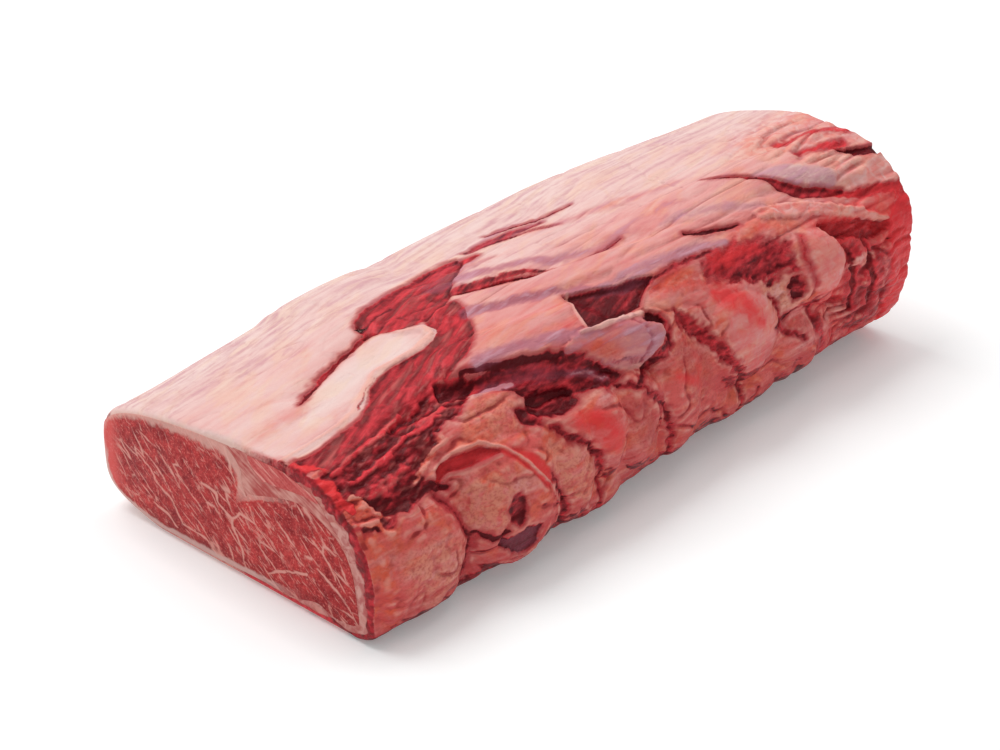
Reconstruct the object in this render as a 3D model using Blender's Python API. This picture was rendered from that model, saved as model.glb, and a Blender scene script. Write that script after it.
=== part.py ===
"""Beef ribeye roll: a whole boneless rib eye, lying flat, with a square knife cut at each end.

The roll runs along Y, from the small loin cut at -Y to the taller chuck cut at +Y. The rib side,
with its row of fat pads, faces +X, and the smooth cover fat faces -X. Three bodies run the full
length: the eye muscle, the cap muscle above it, and the fat that wraps and parts them.
"""
import math

import bmesh
import bpy
import numpy as np

# Driving dimensions, in metres. The four values of each are for evenly spaced cross-sections,
# from the loin cut to the chuck cut.
LENGTH = 0.44
REACH_RIB_SIDE = (0.092, 0.097, 0.093, 0.095)
REACH_FAT_SIDE = (0.109, 0.101, 0.090, 0.074)
HEIGHT = (0.080, 0.101, 0.113, 0.122)
CREST_ASIDE = (0.036, 0.030, 0.020, 0.012)
# Height of the widest place, as a share of the whole height, and how far the fat side falls away
WIDEST_RIB_SIDE = (0.20, 0.37, 0.46, 0.58)
WIDEST_FAT_SIDE = (0.42, 0.42, 0.42, 0.42)
FALL_FAT_SIDE = (0.24, 0.12, 0.12, 0.26)
# Superellipse powers of the four quarters: 2 is an ellipse, and more is squarer
POWER_RIB_TOP = 2.4
POWER_FAT_TOP = 3.8
POWER_RIB_FOOT = 3.4
POWER_FAT_FOOT = 3.8
# The roll settles by this much under its own weight, which makes its flat underside
SETTLE = 0.0025
# Brings the middle of the finished roll over the origin
SIDE_SHIFT = 0.00285
# A usual way round the roll, which turns shares of the girth into lengths
GIRTH = 0.50

# The cut faces: crown in the middle, and rounding where the skin turns over the edge
CUT_CROWN = 0.0020
EDGE_ROUND = 0.0030
EDGE_ROUND_FAT_SIDE = 0.0050

# Depths under the skin, as (share of the girth, depth) from the middle of the underside upwards
# round the rib side, over the crest and down the fat side
FAT_DEPTH_LOIN = (
    (0.00, 0.005), (0.09, 0.010), (0.16, 0.012), (0.24, 0.014), (0.28, 0.009),
    (0.35, 0.0045), (0.45, 0.003), (0.65, 0.0028), (0.85, 0.003),
)
FAT_DEPTH_CHUCK = (
    (0.00, 0.006), (0.09, 0.013), (0.16, 0.016), (0.24, 0.014), (0.28, 0.010),
    (0.35, 0.008), (0.45, 0.007), (0.65, 0.006), (0.85, 0.006),
)
# Extra cover halfway along, under the slits and the sheets that lie on the roll
FAT_DEPTH_MIDDLE = 0.006
# The cap muscle and the seam under it: where each starts and ends round the girth, and thickness
CAP_SPAN_LOIN = (0.265, 0.385)
CAP_SPAN_CHUCK = (0.200, 0.620)
CAP_THICKNESS = (0.009, 0.032)
CAP_EDGE = 0.0010
SEAM_THICKNESS = (0.010, 0.006)
SEAM_EDGE = 0.0015
NODE_GAP = 0.0003

# Fat pads along the rib side, as (from the loin cut, share of the girth, half length, half
# breadth, height)
PADS = (
    (0.036, 0.165, 0.033, 0.034, 0.0055),
    (0.097, 0.180, 0.034, 0.036, 0.0075),
    (0.139, 0.185, 0.018, 0.032, 0.0060),
    (0.163, 0.205, 0.018, 0.026, 0.0065),
    (0.160, 0.125, 0.020, 0.018, 0.0040),
    (0.192, 0.200, 0.020, 0.028, 0.0065),
    (0.224, 0.185, 0.019, 0.030, 0.0055),
    (0.279, 0.225, 0.034, 0.028, 0.0065),
    (0.292, 0.140, 0.030, 0.018, 0.0035),
    (0.346, 0.275, 0.027, 0.022, 0.0055),
    (0.338, 0.175, 0.028, 0.024, 0.0040),
    (0.395, 0.225, 0.032, 0.030, 0.0040),
)
# Raised sheets and straps on top, as (path of (from the loin cut, share of the girth), half
# breadth, height)
STRAPS = (
    (((0.112, 0.345), (0.150, 0.330), (0.180, 0.318)), 0.015, 0.0030),
    (((0.142, 0.423), (0.186, 0.388), (0.248, 0.367), (0.330, 0.346)), 0.010, 0.0025),
    (((0.232, 0.352), (0.275, 0.335), (0.325, 0.318)), 0.013, 0.0025),
    (((0.168, 0.296), (0.192, 0.283), (0.212, 0.272)), 0.011, 0.0025),
    (((0.300, 0.395), (0.360, 0.400), (0.420, 0.405)), 0.022, 0.0030),
    (((0.020, 0.430), (0.070, 0.450), (0.105, 0.490)), 0.022, 0.0015),
    (((0.120, 0.600), (0.150, 0.590)), 0.022, 0.0020),
)
# Trenches and clefts between the muscles, as (path, half breadth, depth)
CLEFTS = (
    (((0.060, 0.315), (0.092, 0.322), (0.125, 0.302), (0.172, 0.273), (0.205, 0.250)), 0.007, 0.0050),
    (((0.122, 0.274), (0.140, 0.268), (0.156, 0.262)), 0.009, 0.0045),
    (((0.048, 0.422), (0.088, 0.452), (0.108, 0.464)), 0.006, 0.0025),
    (((0.154, 0.462), (0.188, 0.420), (0.237, 0.401), (0.262, 0.387)), 0.007, 0.0025),
    (((0.196, 0.530), (0.231, 0.528), (0.257, 0.497)), 0.008, 0.0025),
    (((0.344, 0.372), (0.372, 0.366), (0.398, 0.350)), 0.007, 0.0030),
    (((0.175, 0.550), (0.245, 0.540)), 0.032, 0.0065),
    (((0.060, 0.260), (0.067, 0.190), (0.060, 0.110)), 0.007, 0.0035),
    (((0.129, 0.228), (0.150, 0.196), (0.158, 0.160)), 0.006, 0.0025),
    (((0.176, 0.241), (0.194, 0.205), (0.212, 0.160)), 0.006, 0.0025),
    (((0.238, 0.273), (0.252, 0.230), (0.262, 0.190), (0.287, 0.160)), 0.007, 0.0035),
    (((0.312, 0.262), (0.322, 0.225), (0.365, 0.215)), 0.007, 0.0035),
)

# How finely each body is laid out: bands of the girth as (start, end, steps), and rows
SKIN_BANDS = ((0.070, 0.310, 24), (0.310, 0.480, 14), (0.480, 0.740, 12), (0.740, 1.070, 10))
SKIN_ROWS = 64
EDGE_ROWS = 2
FACE_RINGS = 3
EYE_STEPS = 40
CAP_STEPS = 16
MUSCLE_ROWS = 9
MUSCLE_FACE_RINGS = 4
FINE_STEPS = 720
PASS_THROUGH = 0.012


def smooth_between(low, high, x):
    """Eases from 0 at low to 1 at high."""
    q = np.clip((x - low) / (high - low), 0, 1)
    return q * q * (3 - 2 * q)


def along(t, values):
    """Smooth curve through evenly spaced values, read at the share t of the length."""
    values = np.asarray(values, float)
    last = len(values) - 1
    place = np.clip(t, 0, 1) * last
    i = np.clip(np.floor(place).astype(int), 0, last - 1)
    f = place - i
    before = values[np.clip(i - 1, 0, last)]
    start = values[i]
    end = values[i + 1]
    after = values[np.clip(i + 2, 0, last)]
    slope = (end - before) * f
    bend = (2 * before - 5 * start + 4 * end - after) * f ** 2
    twist = (3 * start - before - 3 * end + after) * f ** 3
    return 0.5 * (2 * start + slope + bend + twist)


def section(t, turn):
    """Cross-section at share t of the length: four superellipse quarters about the crest."""
    across = np.cos(turn)
    up = np.sin(turn)
    rib_side = across > 0
    top = up > 0
    aside = along(t, CREST_ASIDE)
    height = along(t, HEIGHT) + SETTLE
    widest = np.where(rib_side, along(t, WIDEST_RIB_SIDE), along(t, WIDEST_FAT_SIDE))
    reach = np.where(rib_side, along(t, REACH_RIB_SIDE) - aside, along(t, REACH_FAT_SIDE) + aside)
    tall = np.where(top, height * (1 - widest), height * widest)
    power_top = np.where(rib_side, POWER_RIB_TOP, POWER_FAT_TOP)
    power_foot = np.where(rib_side, POWER_RIB_FOOT, POWER_FAT_FOOT)
    power = np.where(top, power_top, power_foot)
    out = np.sign(across) * np.abs(across) ** (2 / power)
    rise = np.sign(up) * np.abs(up) ** (2 / power)
    fall = np.where(top & ~rib_side, along(t, FALL_FAT_SIDE) * np.abs(out), 0)
    x = aside + reach * out
    z = height * widest + tall * rise * (1 - fall)
    return x, np.maximum(z - SETTLE, 0)


def outline(t, share):
    """Points of the cross-section at t, for shares of the girth from the middle of the underside."""
    turn = np.linspace(-math.pi / 2, 1.5 * math.pi, FINE_STEPS + 1)
    x, z = section(t, turn)
    run = np.concatenate([[0], np.cumsum(np.hypot(np.diff(x), np.diff(z)))])
    place = np.mod(share, 1) * run[-1]
    return np.interp(place, run, x), np.interp(place, run, z)


def outward(t, share):
    """Unit normal of the cross-section at t."""
    step = 0.002
    x0, z0 = outline(t, share - step)
    x1, z1 = outline(t, share + step)
    long = np.hypot(x1 - x0, z1 - z0)
    return (z1 - z0) / long, -(x1 - x0) / long


def from_path(s, share, path):
    """Distance over the skin from a path of (from the loin cut, share of the girth) points."""
    best = np.full(np.broadcast(s, share).shape, 1.0)
    for (s0, v0), (s1, v1) in zip(path, path[1:]):
        run = np.array([s1 - s0, (v1 - v0) * GIRTH])
        ds = s - s0
        dv = (share - v0) * GIRTH
        q = np.clip((ds * run[0] + dv * run[1]) / (run @ run), 0, 1)
        best = np.minimum(best, np.hypot(ds - q * run[0], dv - q * run[1]))
    return best


def relief(s, share):
    """Height of the skin above the plain section: pads, straps and clefts."""
    pads = np.zeros(np.broadcast(s, share).shape)
    for at, girth_share, half_length, half_breadth, height in PADS:
        far = ((s - at) / half_length) ** 2 + ((share - girth_share) * GIRTH / half_breadth) ** 2
        pads = np.maximum(pads, height * np.clip(1 - far ** 1.5, 0, 1))
    straps = np.zeros(pads.shape)
    for path, half_breadth, height in STRAPS:
        far = from_path(s, share, path) / half_breadth
        straps = np.maximum(straps, height * (1 - smooth_between(0.6, 1.2, far)))
    clefts = np.zeros(pads.shape)
    for path, half_breadth, depth in CLEFTS:
        far = from_path(s, share, path) / half_breadth
        clefts = np.maximum(clefts, depth * np.exp(-far ** 2))
    return pads + straps - clefts


def skin(t, s, share):
    """Ring of the roll's skin in the cross-section at t, with the relief of places at s from the
    loin cut, faded at the foot."""
    x, z = outline(t, share)
    nx, nz = outward(t, share)
    lift = relief(s, share) * smooth_between(0.001, 0.012, z)
    return x + nx * lift, np.maximum(z + nz * lift, 0)


def core(t):
    """Centre that each cross-section's rays run to."""
    return 0.5 * (along(t, REACH_RIB_SIDE) - along(t, REACH_FAT_SIDE)), 0.45 * along(t, HEIGHT)


def sunk(t, share, depth):
    """Points at a depth under the plain section, measured square to it, along rays to the core."""
    x, z = outline(t, share)
    nx, nz = outward(t, share)
    cx, cz = core(t)
    support = (x - cx) * nx + (z - cz) * nz
    q = np.clip(depth / support, 0, 0.95)
    return x + q * (cx - x), z + q * (cz - z)


def round_girth(share, knots):
    """Smooth depth round the girth through (share, depth) knots, closed on itself."""
    at = np.array([k[0] for k in knots])
    depth = np.array([k[1] for k in knots])
    at = np.concatenate([at - 1, at, at + 1])
    depth = np.tile(depth, 3)
    place = np.mod(share, 1)
    i = np.searchsorted(at, place, side="right") - 1
    f = (place - at[i]) / (at[i + 1] - at[i])
    f = f * f * (3 - 2 * f)
    return depth[i] * (1 - f) + depth[i + 1] * f


def fat_depth(t, share):
    """Fat between the skin and the first lean."""
    loin = round_girth(share, FAT_DEPTH_LOIN)
    chuck = round_girth(share, FAT_DEPTH_CHUCK)
    ends = loin * (1 - t) + chuck * t
    return ends + FAT_DEPTH_MIDDLE * smooth_between(0, 0.12, t) * smooth_between(0, 0.12, 1 - t)


def cap_span(t):
    """Where round the girth the cap muscle starts and ends."""
    start = CAP_SPAN_LOIN[0] * (1 - t) + CAP_SPAN_CHUCK[0] * t
    end = CAP_SPAN_LOIN[1] * (1 - t) + CAP_SPAN_CHUCK[1] * t
    return start, end


def cap_thickness(t, share):
    """Lens of cap muscle, thin at both ends of its span."""
    start, end = cap_span(t)
    q = np.clip((share - start) / (end - start), 0, 1)
    peak = CAP_THICKNESS[0] * (1 - t) + CAP_THICKNESS[1] * t
    return CAP_EDGE + peak * np.sin(math.pi * q) ** 0.8


def eye_depth(t, share):
    """Depth of the eye muscle: under the fat, the cap and the seam, where those lie over it."""
    start, end = cap_span(t)
    place = np.mod(share, 1)
    over = smooth_between(start - 0.07, start + 0.03, place) * smooth_between(end + 0.05, end - 0.02, place)
    seam = (SEAM_THICKNESS[0] * (1 - t) + SEAM_THICKNESS[1] * t) * over
    lean = np.where((place > start) & (place < end), cap_thickness(t, place), 0)
    thin_edge = CAP_EDGE * smooth_between(start - 0.02, start, place) * smooth_between(end + 0.02, end, place)
    return fat_depth(t, share) + np.maximum(lean, thin_edge) + seam + SEAM_EDGE * over


def edge_round(share):
    """Radius where the skin turns over the edge of a cut: larger on the fat side."""
    place = np.mod(share, 1)
    side = smooth_between(0.50, 0.58, place) * smooth_between(0.80, 0.72, place)
    return EDGE_ROUND + (EDGE_ROUND_FAT_SIDE - EDGE_ROUND) * side


def setback(t, share, depth):
    """How far a cut face stands back from the roll's end, at a depth under the skin."""
    x, z = outline(t, share)
    nx, nz = outward(t, share)
    cx, cz = core(t)
    support = (x - cx) * nx + (z - cz) * nz
    radius = edge_round(share)
    inside = np.clip(radius - depth, 0, radius)
    turned = radius - np.sqrt(radius ** 2 - inside ** 2)
    return CUT_CROWN * (1 - np.clip(depth / support, 0, 1)) ** 2 + turned


def mesh_of(name, points, faces):
    """Closed mesh object from points and faces, with its faces turned outwards."""
    mesh = bpy.data.meshes.new(name)
    mesh.from_pydata([tuple(p) for p in points], [], faces)
    bm = bmesh.new()
    bm.from_mesh(mesh)
    bmesh.ops.recalc_face_normals(bm, faces=bm.faces)
    bm.to_mesh(mesh)
    bm.free()
    mesh.update()
    return bpy.data.objects.new(name, mesh)


def two_triangles(a, b, c, d):
    """A four-sided face split the same way on every piece, so that a muscle fits its room."""
    return [(a, b, c), (a, c, d)]


def closed_rings(name, rings, near_middle, far_middle):
    """Solid through rings of equal count, closed at each end by a fan to a middle point."""
    count = len(rings[0])
    points = [p for ring in rings for p in ring] + [near_middle, far_middle]
    faces = []
    for r in range(len(rings) - 1):
        for i in range(count):
            j = (i + 1) % count
            faces += two_triangles(r * count + i, r * count + j, (r + 1) * count + j, (r + 1) * count + i)
    near = len(points) - 2
    far = len(points) - 1
    last = (len(rings) - 1) * count
    for i in range(count):
        j = (i + 1) % count
        faces.append((near, j, i))
        faces.append((far, last + i, last + j))
    return mesh_of(name, points, faces)


def at_length(s, x, z):
    """World points for a ring at s from the loin cut."""
    s = np.broadcast_to(s, x.shape)
    return np.stack([x + SIDE_SHIFT, s - LENGTH / 2, z], axis=-1)


def skin_shares():
    """Shares of the girth where the skin's columns stand, closer together over the relief."""
    shares = [np.linspace(a, b, steps, endpoint=False) for a, b, steps in SKIN_BANDS]
    return np.mod(np.concatenate(shares), 1)


def make_roll():
    """The whole roll as one solid: skin, rounded edges and crowned cut faces."""
    share = skin_shares()
    radius = edge_round(share)
    start = radius + CUT_CROWN
    rings = []
    for q in np.linspace(0, 1, SKIN_ROWS):
        s = start * (1 - q) + (LENGTH - start) * q
        x, z = skin(q, s, share)
        rings.append(at_length(s, x, z))
    for t in (0.0, 1.0):
        edge = rings[0] if t == 0 else rings[-1]
        cx, cz = core(t)
        cx = cx + SIDE_SHIFT
        depths = [radius * (1 - math.cos(a)) for a in np.linspace(0, math.pi / 2, EDGE_ROWS + 1)[1:]]
        nx, nz = outward(t, share)
        support = np.maximum((edge[:, 0] - cx) * nx + (edge[:, 2] - cz) * nz, 0.02)
        depths += [radius + (support - radius) * q for q in np.arange(1, FACE_RINGS + 1) / (FACE_RINGS + 1)]
        for depth in depths:
            q = (depth / support)[:, None]
            ring = edge * (1 - q) + np.array([cx, 0, cz]) * q
            back = setback(t, share, depth)
            ring[:, 1] = (back if t == 0 else LENGTH - back) - LENGTH / 2
            if t == 0:
                rings.insert(0, ring)
            else:
                rings.append(ring)
    near = (core(0.0)[0] + SIDE_SHIFT, -LENGTH / 2, core(0.0)[1])
    far = (core(1.0)[0] + SIDE_SHIFT, LENGTH / 2, core(1.0)[1])
    return closed_rings("fat_cover", rings, near, far)


def muscle_rows(past):
    """Places of a muscle's rings, as (share of the length, how far they stand past the cut)."""
    rows = [(t, 0) for t in np.linspace(0, 1, MUSCLE_ROWS)]
    if past:
        rows = [(0.0, past)] + rows + [(1.0, past)]
    return rows


def ring_place(t, share, depth, past):
    """Distance from the loin cut of a muscle's ring: on the cut faces at both ends."""
    back = setback(t, share, depth) - past
    if t == 0:
        return back
    if t == 1:
        return LENGTH - back
    return t * LENGTH


def make_eye(name, grown, past):
    """The eye muscle. A cutter is the same shape, grown a little and running past both cuts."""
    share = np.arange(EYE_STEPS) / EYE_STEPS
    rings = []
    for t, beyond in muscle_rows(past):
        depth = eye_depth(t, share)
        x, z = sunk(t, share, depth - grown)
        rings.append(at_length(ring_place(t, share, depth, beyond), x, z))
    for t in (0.0, 1.0):
        edge_x, edge_z = sunk(t, share, eye_depth(t, share) - grown)
        cx, cz = core(t)
        px, pz = outline(t, share)
        nx, nz = outward(t, share)
        for q in np.arange(1, MUSCLE_FACE_RINGS) / MUSCLE_FACE_RINGS:
            x = edge_x * (1 - q) + cx * q
            z = edge_z * (1 - q) + cz * q
            depth = (px - x) * nx + (pz - z) * nz
            ring = at_length(ring_place(t, share, depth, past), x, z)
            if t == 0:
                rings.insert(0, ring)
            else:
                rings.append(ring)
    near = (core(0.0)[0] + SIDE_SHIFT, -LENGTH / 2 - past, core(0.0)[1])
    far = (core(1.0)[0] + SIDE_SHIFT, LENGTH / 2 + past, core(1.0)[1])
    return closed_rings(name, rings, near, far)


def make_cap(name, grown, past):
    """The cap muscle: a strip that is thin at both edges, closed by strips across at each cut."""
    across = np.linspace(0, 1, CAP_STEPS)
    points = []
    for t, beyond in muscle_rows(past):
        start, end = cap_span(t)
        share = start + (end - start) * across
        spread = grown / GIRTH * (2 * across - 1)
        top = fat_depth(t, share)
        foot = top + cap_thickness(t, share)
        for depth, more in ((top, -grown), (foot, grown)):
            x, z = sunk(t, share + spread, depth + more)
            points.append(at_length(ring_place(t, share, depth, beyond), x, z))
    rows = len(points) // 2
    points = np.concatenate(points)
    row = 2 * CAP_STEPS
    loop = list(range(CAP_STEPS)) + list(range(row - 1, CAP_STEPS - 1, -1))
    faces = []
    for r in range(rows - 1):
        for a, b in zip(loop, loop[1:] + loop[:1]):
            faces += two_triangles(r * row + a, r * row + b, (r + 1) * row + b, (r + 1) * row + a)
    for base in (0, (rows - 1) * row):
        for i in range(CAP_STEPS - 1):
            j = base + CAP_STEPS + i
            faces += two_triangles(base + i, base + i + 1, j + 1, j)
    return mesh_of(name, points, faces)


def give_material(obj, name, colour, roughness):
    """Principled material with the piece's colour and wetness."""
    material = bpy.data.materials.new(name)
    material.use_nodes = True
    shader = material.node_tree.nodes["Principled BSDF"]
    shader.inputs["Base Color"].default_value = (*colour, 1)
    shader.inputs["Roughness"].default_value = roughness
    shader.inputs["Metallic"].default_value = 0
    obj.data.materials.append(material)


def cut_tunnel(body, cutter):
    """Cuts the room for a muscle out of the fat."""
    cut = body.modifiers.new("Room for " + cutter.name, "BOOLEAN")
    cut.operation = "DIFFERENCE"
    cut.solver = "EXACT"
    cut.object = cutter


for old in list(bpy.data.objects):
    bpy.data.objects.remove(old, do_unlink=True)

roll = bpy.data.collections.new("beef_ribeye_roll")
cutters = bpy.data.collections.new("cutters")
for collection in (roll, cutters):
    bpy.context.scene.collection.children.link(collection)

fat = make_roll()
eye = make_eye("eye_muscle", 0, 0)
cap = make_cap("cap_muscle", 0, 0)
for piece in (fat, eye, cap):
    roll.objects.link(piece)
give_material(fat, "beef fat and silver skin", (0.62, 0.30, 0.24), 0.35)
give_material(eye, "lean of the eye", (0.35, 0.035, 0.03), 0.30)
give_material(cap, "lean of the cap", (0.38, 0.045, 0.035), 0.30)

for cutter in (make_eye("eye_room", NODE_GAP, PASS_THROUGH), make_cap("cap_room", NODE_GAP, PASS_THROUGH)):
    cutters.objects.link(cutter)
    cutter.hide_render = True
    cutter.display_type = "WIRE"
    cut_tunnel(fat, cutter)
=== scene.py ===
"""Looks of the beef ribeye roll: cut faces with their marbling, and the skin of fat, silver skin and
lean between them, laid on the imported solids."""
import math

import bpy
import numpy as np
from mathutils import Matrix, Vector


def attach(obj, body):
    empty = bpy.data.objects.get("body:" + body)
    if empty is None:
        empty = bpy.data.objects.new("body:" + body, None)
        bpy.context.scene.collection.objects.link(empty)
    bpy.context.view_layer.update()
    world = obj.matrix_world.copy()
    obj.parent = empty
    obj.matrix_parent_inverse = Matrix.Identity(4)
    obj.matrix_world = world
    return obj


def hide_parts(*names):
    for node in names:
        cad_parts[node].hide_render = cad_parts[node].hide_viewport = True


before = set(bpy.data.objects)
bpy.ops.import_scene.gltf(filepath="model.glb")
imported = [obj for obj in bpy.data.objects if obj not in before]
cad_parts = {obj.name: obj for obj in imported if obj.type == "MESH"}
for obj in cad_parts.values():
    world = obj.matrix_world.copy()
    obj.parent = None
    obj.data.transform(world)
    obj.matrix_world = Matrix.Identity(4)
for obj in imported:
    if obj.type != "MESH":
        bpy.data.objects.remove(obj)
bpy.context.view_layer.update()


# Camera
# It stands at the photo's angle, above the corner between the small cut and the rib side.
VIEW_TURN = math.radians(42.6)
VIEW_RISE = math.radians(28.5)
VIEW_DISTANCE = 1.24
VIEW_CENTRE = Vector((0.00285, -0.032, 0.040))
LENS = 82.8

camera = bpy.data.objects.new("camera", bpy.data.cameras.new("camera"))
bpy.context.scene.collection.objects.link(camera)
camera.data.lens = LENS
camera.data.sensor_width = 36
camera.data.clip_start = 0.05
view_back = Vector((
    math.sin(VIEW_TURN) * math.cos(VIEW_RISE),
    -math.cos(VIEW_TURN) * math.cos(VIEW_RISE),
    math.sin(VIEW_RISE),
))
camera.location = VIEW_CENTRE + VIEW_DISTANCE * view_back
camera.rotation_euler = view_back.to_track_quat("Z", "Y").to_euler()
bpy.context.scene.camera = camera
bpy.context.scene.view_settings.view_transform = "Standard"


# Floor and light
# A white floor under a large soft box, above and to the left of the camera, so that the rib side
# is the darker one and the shadow falls to the right. A weaker box hangs behind the roll.
FLOOR_SIZE = 10.0
FLOOR_DROP = 0.0004
FLOOR_GLOW = 0.18
FLOOR_GLOW_COLOUR = (0.90, 1, 1, 1)
ROOM_LIGHT = 0.435
MAIN_PLACE = (-1.02, -0.24, 1.98)
MAIN_SIZE = 1.3
MAIN_POWER = 29.0
TOP_PLACE = (-0.10, 0.75, 1.70)
TOP_SIZE = 1.2
TOP_POWER = 7.0


def linear(code):
    """Linear colour from an sRGB hex code: each channel by the standard curve."""
    channels = [int(code[i:i + 2], 16) / 255 for i in (1, 3, 5)]
    return (*[c / 12.92 if c <= 0.04045 else ((c + 0.055) / 1.055) ** 2.4 for c in channels], 1.0)


def add(tree, kind, inputs=(), out=0, **settings):
    """Adds one node with its settings, sets or links its inputs, and gives back one output."""
    made = tree.nodes.new(kind)
    for name, value in settings.items():
        setattr(made, name, value)
    for key, value in dict(inputs).items():
        if isinstance(value, bpy.types.NodeSocket):
            tree.links.new(value, made.inputs[key])
        else:
            made.inputs[key].default_value = value
    return made.outputs[out] if len(made.outputs) else None


def new_material(name):
    """Empty node material."""
    material = bpy.data.materials.new(name)
    material.use_nodes = True
    material.node_tree.nodes.clear()
    return material


def soft_box(name, place, aim, size, power):
    """Square area light at a place, turned to what it lights."""
    light = bpy.data.lights.new(name, "AREA")
    light.size = size
    light.energy = power
    lamp = bpy.data.objects.new(name, light)
    lamp.location = place
    lamp.rotation_euler = (Vector(place) - Vector(aim)).to_track_quat("Z", "Y").to_euler()
    bpy.context.scene.collection.objects.link(lamp)


def matt_white():
    """White paint with no gloss, so that it only carries the shadow. It glows a little, as if more
    light came from all round."""
    material = new_material("matt white studio paint")
    tree = material.node_tree
    shade = add(tree, "ShaderNodeBsdfPrincipled", {
        "Base Color": linear("#f6f6f6"), "Roughness": 0.9, "Specular IOR Level": 0.1,
        "Emission Color": FLOOR_GLOW_COLOUR, "Emission Strength": FLOOR_GLOW,
    })
    add(tree, "ShaderNodeOutputMaterial", {"Surface": shade})
    return material


floor_mesh = bpy.data.meshes.new("floor")
half = FLOOR_SIZE / 2
floor_corners = [(-half, -half, 0), (half, -half, 0), (half, half, 0), (-half, half, 0)]
floor_mesh.from_pydata(floor_corners, [], [(0, 1, 2, 3)])
floor_mesh.materials.append(matt_white())
floor = bpy.data.objects.new("floor", floor_mesh)
floor.location.z = -FLOOR_DROP
bpy.context.scene.collection.objects.link(floor)

world = bpy.data.worlds.new("white room")
world.use_nodes = True
world.node_tree.nodes["Background"].inputs["Color"].default_value = (1, 1, 1, 1)
world.node_tree.nodes["Background"].inputs["Strength"].default_value = ROOM_LIGHT
bpy.context.scene.world = world
soft_box("main soft box", MAIN_PLACE, VIEW_CENTRE, MAIN_SIZE, MAIN_POWER)
soft_box("top soft box", TOP_PLACE, VIEW_CENTRE, TOP_SIZE, TOP_POWER)


# Eye muscle
# The long muscle that fills most of the cut: deep red lean, marbled with thin veins of fat, in
# coarse bundles. A knife has cut it square at both ends, which leaves it wet and grainy.
LENGTH = 0.44
REACH_RIB_SIDE = (0.092, 0.097, 0.093, 0.095)
REACH_FAT_SIDE = (0.109, 0.101, 0.090, 0.074)
HEIGHT = (0.080, 0.101, 0.113, 0.122)
CREST_ASIDE = (0.036, 0.030, 0.020, 0.012)
WIDEST_RIB_SIDE = (0.20, 0.37, 0.46, 0.58)
WIDEST_FAT_SIDE = (0.42, 0.42, 0.42, 0.42)
FALL_FAT_SIDE = (0.24, 0.12, 0.12, 0.26)
POWER_RIB_TOP = 2.4
POWER_FAT_TOP = 3.8
POWER_RIB_FOOT = 3.4
POWER_FAT_FOOT = 3.8
SETTLE = 0.0025
SIDE_SHIFT = 0.00285
GIRTH = 0.50
CUT_CROWN = 0.0020
EDGE_ROUND = 0.0030
EDGE_ROUND_FAT_SIDE = 0.0050
FAT_DEPTH_LOIN = (
    (0.00, 0.005), (0.09, 0.010), (0.16, 0.012), (0.24, 0.014), (0.28, 0.009),
    (0.35, 0.0045), (0.45, 0.003), (0.65, 0.0028), (0.85, 0.003),
)
FAT_DEPTH_CHUCK = (
    (0.00, 0.006), (0.09, 0.013), (0.16, 0.016), (0.24, 0.014), (0.28, 0.010),
    (0.35, 0.008), (0.45, 0.007), (0.65, 0.006), (0.85, 0.006),
)
FAT_DEPTH_MIDDLE = 0.006
CAP_SPAN_LOIN = (0.265, 0.385)
CAP_SPAN_CHUCK = (0.200, 0.620)
CAP_THICKNESS = (0.009, 0.032)
CAP_EDGE = 0.0010
SEAM_THICKNESS = (0.010, 0.006)
SEAM_EDGE = 0.0015
FINE_STEPS = 720

# Steps round the eye, rings on each cut face, and rows between the faces
EYE_STEPS = 480
EYE_FACE_RINGS = 90
SIDE_ROWS = 10
# The lean swells a little past the fat round it
LEAN_PROUD = 0.00018
GRAIN_RELIEF = 0.00022
VEIN_RELIEF = 0.00012
# The innermost ring of a cut face, as a share of the way to the core, and the value of no vein
INNERMOST = 0.985
NO_VEIN = -0.01
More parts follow.
